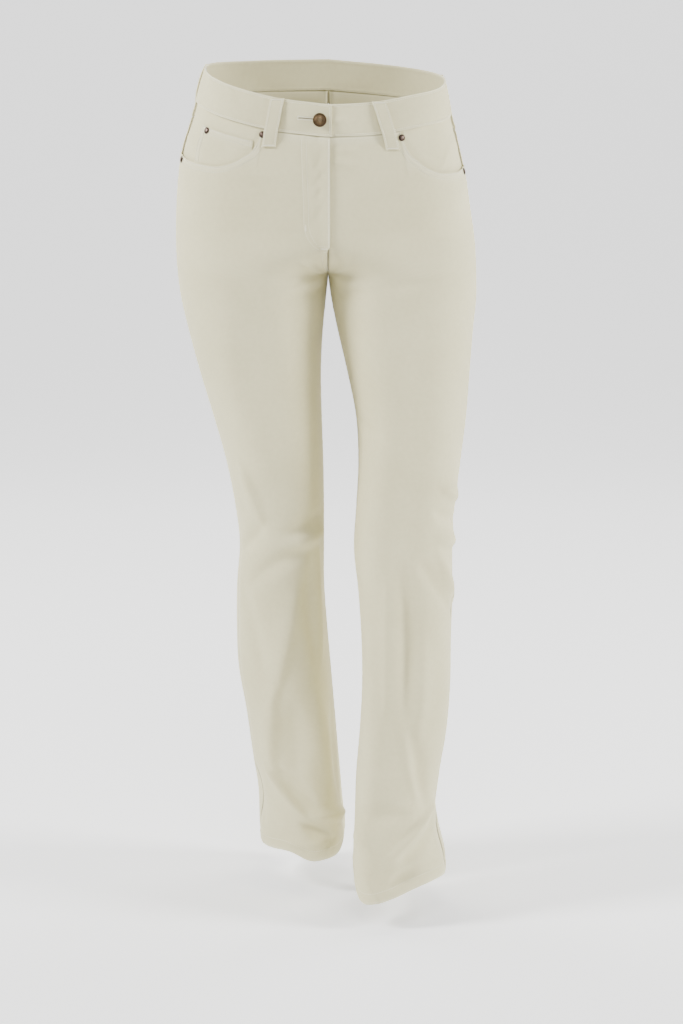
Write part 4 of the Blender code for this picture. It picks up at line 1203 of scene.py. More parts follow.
        # Painted shade: dark lines along the inseam, the outseam and just under the waistband.
        wear = self.with_painted_seam_shade(wear, np.where(legs | (self.half is Half.LEFT), inner, 1.0))
        wear = self.with_painted_seam_shade(wear, side)
        banded = self.form.mouth_share(self.half, distance / self.form.outseam(self.half, z)) <= 0
        wear = self.with_painted_seam_shade(wear, np.where(banded, mouth, 1.0), 0.7)
        piece = self.make("front_leg_" + self.half.word, distance, z, wear)
        return self.finish_piece(piece, self.cut, "front_" + self.half.word)


@dataclass
class FlyUnderlap(FrontLeg):
    """The left front's extension, which lies beneath the fly's lap."""

    def build(self) -> bpy.types.Object:
        """Makes the extension, from under the waistband to the fly's foot."""
        z = np.linspace(-0.0826, self.fly_bottom_z + 0.002, 44)[:, None]
        marks = np.linspace(self.underlap[0][0], -0.0002, 14)[None, :]
        z, distance = np.broadcast_arrays(z, marks)
        piece = self.make("fly_underlap", distance, z, np.zeros(z.shape))
        dress(piece, self.wardrobe.cloth)
        LOG.info("%s: %d faces", piece.name, len(piece.data.polygons))
        return piece


@dataclass
class BackLeg(LegPanel):
    """A back leg, from the yoke to the hem."""

    cut: Cut = Cut(0.330, 1.010, 0.275, "hung")

    def distances(self, shares: np.ndarray, z: np.ndarray) -> np.ndarray:
        """Distances of the columns at each height."""
        gap = self.form.halves[self.half].seam_gap / 2
        start = self.form.outseam(self.half, z) + gap
        end = self.form.whole(self.half, z) + self.form.inseam(self.half, z) - gap
        return start + shares * (end - start)

    def lift(self, distance: np.ndarray, z: np.ndarray) -> np.ndarray:
        """The back's relief: seams, rise and hem."""
        side = distance - self.form.outseam(self.half, z)
        out = seam_relief(side, z, (), 1.0)
        inner = self.form.whole(self.half, z) + self.form.inseam(self.half, z) - distance
        rows = (0.002, 0.008) if self.half is Half.RIGHT else ()
        out = out + seam_relief(inner, z, rows, 5.0)
        top = self.form.yoke_seam_z(self.half, distance / self.form.whole(self.half, z)) - z
        out = out + np.where(top < 0.03, seam_relief(top, distance, (), 6.0), 0.0)
        return out + self.hem_relief(distance, z)

    def build(self) -> bpy.types.Object:
        """Makes the back leg.

        Returns:
            The piece.
        """
        shares = self.graded(0.265, self.spacing)
        level = np.full((1, 1), self.form.level)
        place = (self.distances(shares[None, :], level) / self.form.whole(self.half, level))[0]
        top_z = self.form.yoke_seam_z(self.half, place) - self.form.halves[self.half].seam_gap
        rows = self.rows(float(top_z[-1]))
        z = self.heights(rows, top_z, float(top_z[-1]), 0.5 + shares / 2)
        distance = self.distances(shares[None, :], z)
        inner = self.form.whole(self.half, z) + self.form.inseam(self.half, z) - distance
        side = distance - self.form.outseam(self.half, z)
        top = top_z[None, :] - z
        wear = self.wear_at((side, inner, top))
        # Painted shade: dark lines along the outseam, the back rise and under the yoke.
        for off in (side, inner, np.where(top < 0.05, top, 1.0)):
            wear = self.with_painted_seam_shade(wear, off)
        piece = self.make("back_leg_" + self.half.word, distance, z, wear)
        return self.finish_piece(piece, self.cut, "back_" + self.half.word)


@dataclass
class Yoke(BackLeg):
    """The shaped piece between the waistband and the back leg."""

    cut: Cut = Cut(0.235, 0.064, 0.0105, "stretched")

    def lift(self, distance: np.ndarray, z: np.ndarray) -> np.ndarray:
        """The yoke's relief, with two rows of stitching over its lower seam."""
        place = distance / self.form.whole(self.half, z)
        low = z - self.form.yoke_seam_z(self.half, place)
        out = 0.0005 + seam_relief(low, distance, (0.002, 0.008), 6.0)
        out = out + seam_relief(distance - self.form.outseam(self.half, z), z, (), 7.0)
        inner = self.form.whole(self.half, z) - distance
        rows = (0.002, 0.008) if self.half is Half.RIGHT else ()
        return out + seam_relief(inner, z, rows, 8.0)

    def build(self) -> bpy.types.Object:
        """Makes the yoke.

        Returns:
            The piece.
        """
        shares = self.graded(0.225, 0.004)
        level = np.full((1, 1), self.form.level)
        place = (self.distances(shares[None, :], level) / self.form.whole(self.half, level))[0]
        top = self.form.band_seam_z(self.half, place) - self.form.halves[self.half].seam_gap
        low = self.form.yoke_seam_z(self.half, place)
        down = self.graded(0.045, 0.004)
        z = top + down[:, None] * (low - top)
        distance = self.distances(shares[None, :], z)
        offs = (z - low, self.form.whole(self.half, z) - distance, top - z)
        wear = self.wear_at(offs)
        # Painted shade: dark lines along the yoke's seams and the outseam.
        for off in (*offs, distance - self.form.outseam(self.half, z)):
            wear = self.with_painted_seam_shade(wear, off, 0.7)
        piece = self.make("back_yoke_" + self.half.word, distance, z, wear)
        return self.finish_piece(piece, self.cut, "yoke_" + self.half.word)


@dataclass
class PocketFacing(FrontLeg):
    """The piece that shows inside a front pocket's mouth."""

    depth: float = -0.0028
    above: float = 0.007
    below: float = 0.018
    past_side: float = 0.006
    cut: Cut = Cut(0.195, 0.100, 0.0135, "stretched")

    def lift(self, distance: np.ndarray, z: np.ndarray) -> np.ndarray:
        """The facing's depth, with the soft wrinkles of a pocket that is pulled across."""
        share = distance / self.form.outseam(self.half, z)
        mouth = z - self.form.mouth_z(self.half, share)
        wave = 0.0009 * hump(mouth - 0.010 - 0.030 * np.sin(9 * share), 0.0045)
        pull = 0.0006 * hump(mouth - 0.019, 0.006) * np.sin(distance / 0.013)
        across = wave if self.half is Half.LEFT else 0.5 * wave
        return self.depth + (across + pull) * soft_step(mouth, 0.004, 0.012)

    def shares(self, first: float, last: float, steps: int) -> np.ndarray:
        """Shares of the front's width.

        Args:
            first: The distance at which they start, just under the waistband.
            last: The distance at which they end.
            steps: How many there are.

        Returns:
            The shares.
        """
        return np.linspace(first, last, steps) / self.form.side_at_level(self.half)

    def build(self) -> bpy.types.Object:
        """Makes the facing.

        Returns:
            The piece.
        """
        side = self.form.side_at_level(self.half)
        corner = self.form.mouth_corner[self.half]
        shares = self.shares(corner - self.below, side + self.past_side, 62)
        place = shares * side / self.form.whole_at_level(self.half)
        top = self.form.band_seam_z(self.half, place) + self.above
        low = self.form.mouth_z(self.half, shares) - self.below
        z = top + np.linspace(0, 1, 30)[:, None] * (low - top)
        distance = shares[None, :] * self.form.outseam(self.half, z)
        piece = self.make("front_pocket_facing_" + self.half.word, distance, z, np.zeros(z.shape))
        return self.finish_piece(piece, self.cut, "pocket_facing_" + self.half.word)


@dataclass
class CoinPocket(PocketFacing):
    """The small pocket on the right facing."""

    thickness: float = 0.0008
    raised: float = 0.0011
    below_band: float = 0.018
    below_mouth: float = 0.013
    first: float = 0.0965
    last: float = 0.1830
    cut: Cut = Cut(0.090, 0.062, 0.0048, "stretched")

    def lift(self, distance: np.ndarray, z: np.ndarray) -> np.ndarray:
        """The pocket lies on the facing, with folded edges and a slack mouth."""
        share = distance / self.form.outseam(self.half, z)
        place = distance / self.form.whole(self.half, z)
        top = self.form.band_seam_z(self.half, place) - self.below_band - z
        side = self.last / self.form.side_at_level(self.half) - share
        side = side * self.form.side_at_level(self.half)
        out = super().lift(distance, z) + self.raised
        out = out + 0.00030 * (1 - soft_step(top, 0.009, 0.012)) - 0.0004 * hump(top, 0.001)
        out = out + 0.00025 * (1 - soft_step(side, 0.006, 0.009)) - 0.0004 * hump(side, 0.001)
        out = out - 0.00018 * (hump(top - 0.002, 0.0009) + hump(top - 0.008, 0.0009))
        slack = 0.0006 * hump(share * self.form.side_at_level(self.half) - 0.140, 0.022)
        return out + slack * (1 - soft_step(top, 0.004, 0.020))

    def build(self) -> bpy.types.Object:
        """Makes the coin pocket.

        Returns:
            The piece.
        """
        side = self.form.side_at_level(self.half)
        shares = self.shares(self.first, self.last, 40)
        place = shares * side / self.form.whole_at_level(self.half)
        top = self.form.band_seam_z(self.half, place) - self.below_band
        low = self.form.mouth_z(self.half, shares) - self.below_mouth
        z = top + self.graded(0.060, 0.003)[:, None] * (low - top)
        distance = shares[None, :] * self.form.outseam(self.half, z)
        wear = self.wear_at((np.abs(top - z), distance[:, -1:] - distance))
        piece = self.make("coin_pocket_patch", distance, z, wear)
        return self.finish_piece(piece, self.cut, "coin_pocket")


@dataclass
class BackPocket(BackLeg):
    """A plain patch pocket, pointed at the bottom."""

    width: float = 0.138
    height: float = 0.142
    point_drop: float = 0.020
    taper: float = 0.007
    from_back: float = 0.038
    below_yoke: float = 0.024
    raised: float = 0.0019
    cut: Cut = Cut(0.142, 0.150, 0.0188, "stretched")

    def frame_at(self, distance: np.ndarray, z: np.ndarray) -> tuple[np.ndarray, np.ndarray]:
        """Where a point lies on the pocket: across it from 0 to 1, and down it from 0 to 1."""
        inner = self.form.whole(self.half, z) - distance
        level = np.full(np.shape(z), -0.140)
        top = self.form.yoke_seam_z(self.half, 1 - inner / self.form.whole(self.half, level))
        down = top - self.below_yoke - z
        v = down / self.height
        u = (inner - self.from_back - self.taper * v) / (self.width - 2 * self.taper * v)
        return u, down / (self.height - self.point_drop * np.abs(2 * u - 1))

    def lift(self, distance: np.ndarray, z: np.ndarray) -> np.ndarray:
        """The patch stands on the back leg, its edges sewn down."""
        u, v = self.frame_at(distance, z)
        side = np.minimum(u, 1 - u) * self.width
        low = (1 - v) * self.height
        edge = np.minimum(side, low)
        out = self.raised - 0.0010 * hump(np.maximum(edge, 0), 0.0016)
        out = out + 0.0003 * (1 - soft_step(v * self.height, 0.014, 0.017))
        for row in (0.002, 0.008):
            out = out - 0.00024 * hump(edge - row, 0.0009)
        return out + 0.00012 * pucker(distance + z, 0.011, 9.0) * (1 - soft_step(edge, 0.004, 0.014))

    def path(self, u: np.ndarray, v: np.ndarray) -> tuple[np.ndarray, np.ndarray]:
        """Distances and heights at places on the pocket."""
        inner = self.from_back + self.taper * v + u * (self.width - 2 * self.taper * v)
        level = np.full(np.shape(u), -0.140)
        top = self.form.yoke_seam_z(self.half, 1 - inner / self.form.whole(self.half, level))
        z = top - self.below_yoke - v * (self.height - self.point_drop * np.abs(2 * u - 1))
        return self.form.whole(self.half, z) - inner, z

    def build(self) -> bpy.types.Object:
        """Makes the patch pocket.

        Returns:
            The piece.
        """
        across = self.graded(self.width, 0.0035, (self.width / 2,))
        down = self.graded(self.height, 0.0035)
        u, v = np.meshgrid(across[::-1], down)
        distance, z = self.path(u, v)
        side = np.minimum(u, 1 - u) * self.width
        wear = self.wear_at((side, v * self.height, (1 - v) * self.height))
        piece = self.make("back_patch_pocket_" + self.half.word, distance, z, wear)
        return self.finish_piece(piece, self.cut, "back_pocket_" + self.half.word)


@dataclass
class Waistband(Sheet):
    """One shaped strip round the waist, its right end lapped over its left."""

    thickness: float = 0.0024
    rim: float = 0.0008
    proud: float = 0.0010
    lap: float = 0.005
    underlap: float = 0.034
    lap_lift: float = 0.0014
    underlap_lift: float = -0.0019
    lap_fade: float = 0.075
    cut: Cut = Cut(0.900, 0.044, 0.0385, "stretched")

    def lift(self, distance: np.ndarray, z: np.ndarray) -> np.ndarray:
        """How far the band stands out: the right end over the left one."""
        return self.half_lift(self.half, distance, z)

    def half_lift(self, half: Half, distance: np.ndarray, z: np.ndarray) -> np.ndarray:
        """The band's lift on one half, with the dips along its stitching."""
        near = 1 - soft_step(distance, self.lap, self.lap_fade)
        step = self.lap_lift if half is Half.RIGHT else self.underlap_lift
        place = distance / self.form.whole(half, z)
        down = self.form.waist_z(half, place) - z
        out = self.proud + near * step
        for row in (0.0030, self.form.band_height - 0.0028):
            out = out - 0.00036 * hump(down - row, 0.0012)
        middle = 0.5 - 0.5 * np.cos(2 * math.pi * down / self.form.band_height)
        out = out + 0.00045 * middle
        ripple = pucker(distance, 0.0125, 11.0 + half.value) * (1 - middle)
        dent = -0.0011 * hump(distance - 0.118, 0.010) * hump(down - 0.010, 0.010)
        upper = hump(down - 0.020 - 0.25 * (distance - 0.012), 0.0034) * hump(distance - 0.016, 0.012)
        lower = hump(down - 0.032 + 0.1 * distance, 0.0030) * hump(distance - 0.014, 0.010)
        crease = 0.0019 * upper + 0.0013 * lower
        extra = dent if half is Half.RIGHT else crease
        return out + 0.00024 * ripple + extra

    def build(self) -> bpy.types.Object:
        """Makes the band.

        Returns:
            The piece.
        """
        points, cuts, wears = [], [], []
        start = 0.0
        down = self.graded(self.form.band_height, 0.0026)
        for half in (Half.RIGHT, Half.LEFT):
            first = -self.lap if half is Half.RIGHT else -self.underlap
            whole = self.form.whole_at_level(half)
            marks = first + self.graded(whole - first, 0.0036) * (whole - first)
            marks = marks if half is Half.RIGHT else marks[::-1][1:]
            place = marks / whole
            z = self.form.waist_z(half, place) - down[:, None] * self.form.band_height
            distance = np.where(place < 0, marks, place * self.form.whole(half, z))
            lift = self.half_lift(half, distance, z)
            points.append(self.form.place(half, distance, z, lift))
            run = np.broadcast_to(start + np.abs(marks - marks[0]), z.shape)
            start = float(run[0, -1])
            fall = np.broadcast_to(down[:, None] * self.form.band_height, z.shape)
            cuts.append(np.stack([run, fall], axis=2))
            edge = np.minimum(fall, self.form.band_height - fall)
            wears.append(0.7 * hump(edge, 0.0014) + 0.25 * hump(distance + self.lap, 0.003))
        piece = self.from_points("waistband_strip", np.hstack(points), np.hstack(cuts), np.hstack(wears))
        return self.finish_piece(piece, self.cut, "waistband")


@dataclass
class BeltLoop(Sheet):
    """A folded strip, sewn down at both ends."""

    node: str = ""
    at: float = 0.147
    lean: float = 0.0
    length: float = 0.063
    width: float = 0.018
    thickness: float = 0.0018
    rim: float = 0.0005
    path: tuple = (
        StandRow(0.00, 0.0015),
        StandRow(0.10, 0.0032),
        StandRow(0.28, 0.0052),
        StandRow(0.50, 0.0056),
        StandRow(0.70, 0.0048),
        StandRow(0.86, 0.0024),
        StandRow(0.94, 0.0008),
        StandRow(1.00, 0.0005),
    )
    cut: Cut = Cut(0.018, 0.066, 0.00118, "stretched")

    def share(self, z: np.ndarray) -> np.ndarray:
        """How far down the loop a height lies, from 0 to 1."""
        return (float(self.form.waist_z(self.half, np.array([self.at]))[0]) - 0.001 - z) / self.length

    def middle(self, z: np.ndarray) -> np.ndarray:
        """The distance to the loop's middle line, which leans outwards on its way down."""
        return self.at * self.form.whole(self.half, z) + self.lean * self.length * (self.share(z) - 0.5)

    def lift(self, distance: np.ndarray, z: np.ndarray) -> np.ndarray:
        """The loop's arch, with its folded edges and its sewn ends."""
        share = np.clip(self.share(z), 0, 1)
        stand = TableCurve(self.path).at("lift", share) + self.thickness
        across = distance - self.middle(z)
        off = self.width / 2 - np.abs(across)
        cup = -0.0009 * (np.abs(across) / (self.width / 2)) ** 2 * np.sin(math.pi * share)
        ends = 0.00030 * (hump(share - 0.035, 0.028) + hump(share - 0.95, 0.028))
        tilt = 0.0006 * (across / self.width) * np.sin(math.pi * share)
        return stand + cup + tilt - ends - 0.0002 * hump(off - 0.0022, 0.0009)

    def build(self) -> bpy.types.Object:
        """Makes the loop.

        Returns:
            The piece.
        """
        top = float(self.form.waist_z(self.half, np.array([self.at]))[0]) - 0.001
        z = (top - self.graded(self.length, 0.0022) * self.length)[:, None]
        across = (self.graded(self.width, 0.0015)[None, :] - 0.5) * self.width
        z, across = np.broadcast_arrays(z, across)
        distance = self.middle(z) + across
        wear = 0.6 * hump(self.width / 2 - np.abs(across), 0.0014)
        piece = self.make(self.node + "_strip", distance, z, wear)
        return self.finish_piece(piece, self.cut, self.node)


class StitchKind(Enum):
    """The kinds of stitching, by stitch length and spacing."""

    TOP = (0.0026, 0.0033)
    TACK = (0.0018, 0.00042)
    WHIP = (0.0021, 0.00055)
    # The spacing of the dark grains that paint the shade in the buttonhole's slit.
    CUT = (0.0030, 0.0022)


@dataclass
class Stitching:
    """Sewn lines: one modelled stitch, copied along each line and kept as one mesh a group."""

    form: TrousersForm
    wardrobe: Wardrobe
    thread: float = 0.00044

    def __post_init__(self) -> None:
        """Models the one stitch: a slack grain of thread whose ends dip into the cloth."""
        bpy.ops.object.select_all(action="DESELECT")
        bpy.ops.mesh.primitive_uv_sphere_add(segments=5, ring_count=5, radius=0.5)
        stitch = bpy.context.object
        co = np.empty(len(stitch.data.vertices) * 3)
        stitch.data.vertices.foreach_get("co", co)
        co = co.reshape(-1, 3)[:, [2, 0, 1]]
        run = 2 * co[:, 0]
        full = np.sqrt(np.clip(1 - run**4, 0, 1)) / np.sqrt(np.clip(1 - run**2, 1e-6, 1))
        co[:, 1:] *= np.minimum(full, 1.6)[:, None]
        self.grain = co
        self.faces = [tuple(face.vertices) for face in stitch.data.polygons]
        bpy.data.objects.remove(stitch)
        self.places: list[np.ndarray] = []

    def put(self, middle: np.ndarray, along: np.ndarray, out: np.ndarray, length: np.ndarray) -> None:
        """Copies the stitch to each place.

        Args:
            middle: The stitches' middles.
            along: Unit directions along them.
            out: Unit directions out of the cloth.
            length: Their lengths.
        """
        across = np.cross(out, along)
        across /= np.linalg.norm(across, axis=1)[:, None]
        up = np.cross(along, across)
        grain = self.grain
        points = middle[:, None, :] + grain[None, :, :1] * (along * length[:, None])[:, None, :]
        points = points + grain[None, :, 1:2] * 2 * self.thread * across[:, None, :]
        arch = (1 - (2 * grain[:, 0]) ** 2) * 0.35 * self.thread
        rise = grain[:, 2] * 1.7 * self.thread + arch
        self.places.append(points + rise[None, :, None] * up[:, None, :])

    def run(
        self,
        sheet: Sheet,
        distance: np.ndarray,
        z: np.ndarray,
        kind: StitchKind = StitchKind.TOP,
    ) -> None:
        """Sews along a line on a sheet.

        Args:
            sheet: The sheet that carries the line.
            distance: The line's distances round the sheet's half.
            z: Its heights.
            kind: The kind of stitch.
        """
        length, pitch = kind.value
        t = np.linspace(0, 1, len(distance))
        fine = np.linspace(0, 1, max(60, 12 * len(distance)))
        d, h = np.interp(fine, t, distance), np.interp(fine, t, z)
        points = sheet.point(d, h, 0.00012)
        gone = np.concatenate([[0.0], np.cumsum(np.linalg.norm(np.diff(points, axis=0), axis=1))])
        count = int(gone[-1] / pitch)
        if count < 1:
            return
        starts = (gone[-1] - count * pitch) / 2 + pitch * np.arange(count)
        ends = starts + length
        a = np.stack([np.interp(starts, gone, points[:, k]) for k in range(3)], axis=1)
        b = np.stack([np.interp(ends, gone, points[:, k]) for k in range(3)], axis=1)
        along = (b - a) / np.linalg.norm(b - a, axis=1)[:, None]
        mid = (starts + ends) / 2
        normal = self.form.normal(sheet.half, np.interp(mid, gone, d), np.interp(mid, gone, h))
        self.put((a + b) / 2, along, normal, np.linalg.norm(b - a, axis=1))

    def bar(self, sheet: Sheet, distance: float, z: float, run: tuple) -> None:
        """Sews a bar-tack: close stitches across a short line.

        Args:
            sheet: The sheet that carries it.
            distance: Its middle's distance.
            z: Its middle's height.
            run: How far it runs round and up.
        """
        length, pitch = StitchKind.TACK.value
        size = math.hypot(*run)
        steps = np.arange(-size / 2, size / 2, pitch)
        d = distance + steps * run[0] / size
        h = z + steps * run[1] / size
        side = np.array([-run[1], run[0]]) / size * length / 2
        a = sheet.point(d - side[0], h - side[1], 0.00025)
        b = sheet.point(d + side[0], h + side[1], 0.00025)
        along = (b - a) / np.linalg.norm(b - a, axis=1)[:, None]
        normal = self.form.normal(sheet.half, d, h)
        self.put((a + b) / 2, along, normal, np.linalg.norm(b - a, axis=1))

    def keep(self, name: str, material: bpy.types.Material | None = None) -> None:
        """Makes one piece of the stitches put so far.

        Args:
            name: The piece's name.
            material: Its material, where it isn't the thread's.
        """
        points = np.concatenate(self.places)
        self.places = []
        count = len(self.grain)
        faces = [tuple(v + k * count for v in face) for k in range(len(points)) for face in self.faces]
        mesh = bpy.data.meshes.new(name)
        mesh.from_pydata(points.reshape(-1, 3).tolist(), [], faces)
        mesh.shade_smooth()
        piece = bpy.data.objects.new(name, mesh)
        bpy.context.scene.collection.objects.link(piece)
        dress(piece, material or self.wardrobe.thread)
        LOG.info("%s: %d stitches", name, len(points))


@dataclass
class TurnedMetal:
    """A button or rivet, turned about the cloth's outward direction."""

    outline: tuple
    steps: int = 40

    def build(self, name: str, centre: np.ndarray, axis: np.ndarray) -> bpy.types.Object:
        """Turns the outline.

        Args:
            name: The piece's name.
            centre: The middle of its underside.
            axis: The way that it points.

        Returns:
            The piece, in place.
        """
        first, second = self.outline[0], self.outline[1]
        bpy.ops.object.select_all(action="DESELECT")
        bpy.ops.mesh.primitive_cylinder_add(
            vertices=self.steps,
            radius=first.radius,
            depth=second.height - first.height,
            location=(0.0, 0.0, (first.height + second.height) / 2),
        )
        piece = bpy.context.object
        piece.name = piece.data.name = name
        bpy.ops.object.transform_apply(location=True, rotation=True, scale=True)
        bpy.ops.object.mode_set(mode="EDIT")
        bpy.ops.mesh.select_mode(type="FACE")
        bpy.ops.mesh.select_all(action="DESELECT")
        bpy.ops.object.mode_set(mode="OBJECT")
        top = max(piece.data.polygons, key=lambda face: face.center.z * len(face.vertices) ** 2)
        top.select = True
        bpy.ops.object.mode_set(mode="EDIT")
        grow = second.radius / first.radius
        bpy.ops.transform.resize(value=(grow, grow, 1.0))
        for before, row in zip(self.outline[1:], self.outline[2:]):
            rise = (0.0, 0.0, row.height - before.height)
            bpy.ops.mesh.extrude_region_move(TRANSFORM_OT_translate={"value": rise})
            grow = row.radius / before.radius
            bpy.ops.transform.resize(value=(grow, grow, 1.0))
        bpy.ops.mesh.select_all(action="SELECT")
        bpy.ops.mesh.normals_make_consistent(inside=False)
        bpy.ops.object.mode_set(mode="OBJECT")
        self.rub(piece)
        smooth = piece.modifiers.new("smooth", "SUBSURF")
        smooth.levels = smooth.render_levels = 1
        apply_all(piece)
        bpy.ops.object.shade_smooth()
        turn = Vector(axis).to_track_quat("Z", "Y").to_matrix().to_4x4()
        piece.data.transform(Matrix.Translation(Vector(centre)) @ turn)
        piece.data.update()
        return piece

    def rub(self, piece: bpy.types.Object) -> None:
        """Marks the high and middle parts as worn bright."""
        mesh = piece.data
        co = np.empty(len(mesh.vertices) * 3)
        mesh.vertices.foreach_get("co", co)
        co = co.reshape(-1, 3)
        top = max(row.height for row in self.outline)
        out = np.hypot(co[:, 0], co[:, 1]) / max(row.radius for row in self.outline)
        worn = 0.60 * hump(out, 0.50) * (co[:, 2] > 0.6 * top) + 0.10 * hump(out - 0.93, 0.08)
        rub = mesh.attributes.new("wear", "FLOAT", "POINT")
        rub.data.foreach_set("value", worn.astype(np.float32))


BUTTON = (
    TurnedRow(0.0034, 0.0000),
    TurnedRow(0.0030, 0.0011),
    TurnedRow(0.0031, 0.0025),
    TurnedRow(0.0078, 0.0028),
    TurnedRow(0.0091, 0.0033),
    TurnedRow(0.0092, 0.0039),
    TurnedRow(0.0088, 0.0045),
    TurnedRow(0.0081, 0.0048),
    TurnedRow(0.0074, 0.0047),
    TurnedRow(0.0066, 0.0050),
    TurnedRow(0.0048, 0.0058),
    TurnedRow(0.0026, 0.0062),
    TurnedRow(0.0008, 0.0063),
)
RIVET = (
    TurnedRow(0.0045, 0.0000),
    TurnedRow(0.0046, 0.0005),
    TurnedRow(0.0043, 0.0009),
    TurnedRow(0.0036, 0.0010),
    TurnedRow(0.0031, 0.0015),
    TurnedRow(0.0020, 0.0019),
    TurnedRow(0.0007, 0.0020),
)


@dataclass
class Hardware:
    """The button and the rivets, in their places."""

    form: TrousersForm
    wardrobe: Wardrobe
    band: Waistband
    fronts: dict
    coin: CoinPocket
    button_at: float = 0.010
    button_down: float = 0.0205

    def button(self) -> None:
        """Makes the domed button on its shank."""
        z = self.form.waist_z(Half.RIGHT, np.array([0.0])) - self.button_down
        at = np.array([self.button_at])
        lift = self.band.half_lift(Half.RIGHT, at, z) + 0.0002
        centre = self.form.place(Half.RIGHT, at, z, lift)[0]
        axis = self.form.normal(Half.RIGHT, at, z)[0]
        piece = TurnedMetal(BUTTON, 48).build("shank_button", centre, axis)
        dress(piece, self.wardrobe.button)
        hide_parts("button")
        LOG.info("shank_button: %d faces", len(piece.data.polygons))

    def rivet(self, node: str, sheet: Sheet, share: float, below: float) -> None:
        """Makes one rivet.

        Args:
            node: The frame's node that it stands for.
            sheet: The cloth that it sits on.
            share: How far along the pocket's mouth it lies.
            below: How far below the waistband.
        """
        half = sheet.half
        side = self.form.side_at_level(half)
        corner = self.form.mouth_corner[half] / side
        width = np.array([corner + (1 - corner) * share])
        z = self.form.band_seam_z(half, width * side / self.form.whole_at_level(half)) - below
        at = width * self.form.outseam(half, z)
        centre = sheet.point(at, z, 0.0001)[0]
        axis = self.form.normal(half, at, z)[0]
        piece = TurnedMetal(RIVET, 28).build(node + "_cap", centre, axis)
        dress(piece, self.wardrobe.rivet)
        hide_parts(node)
        LOG.info("%s_cap: %d faces", node, len(piece.data.polygons))

    def build(self) -> None:
        """Makes all the metal."""
        self.button()
        for half, below in ((Half.RIGHT, 0.008), (Half.LEFT, 0.009)):
            front = self.fronts[half]
            share = 0.0 if half is Half.RIGHT else 0.005
            self.rivet("rivet_inner_" + half.word, front, share, below)
            self.rivet("rivet_side_" + half.word, front, 0.86, 0.074)
        self.rivet("rivet_coin", self.coin, 0.555, 0.023)


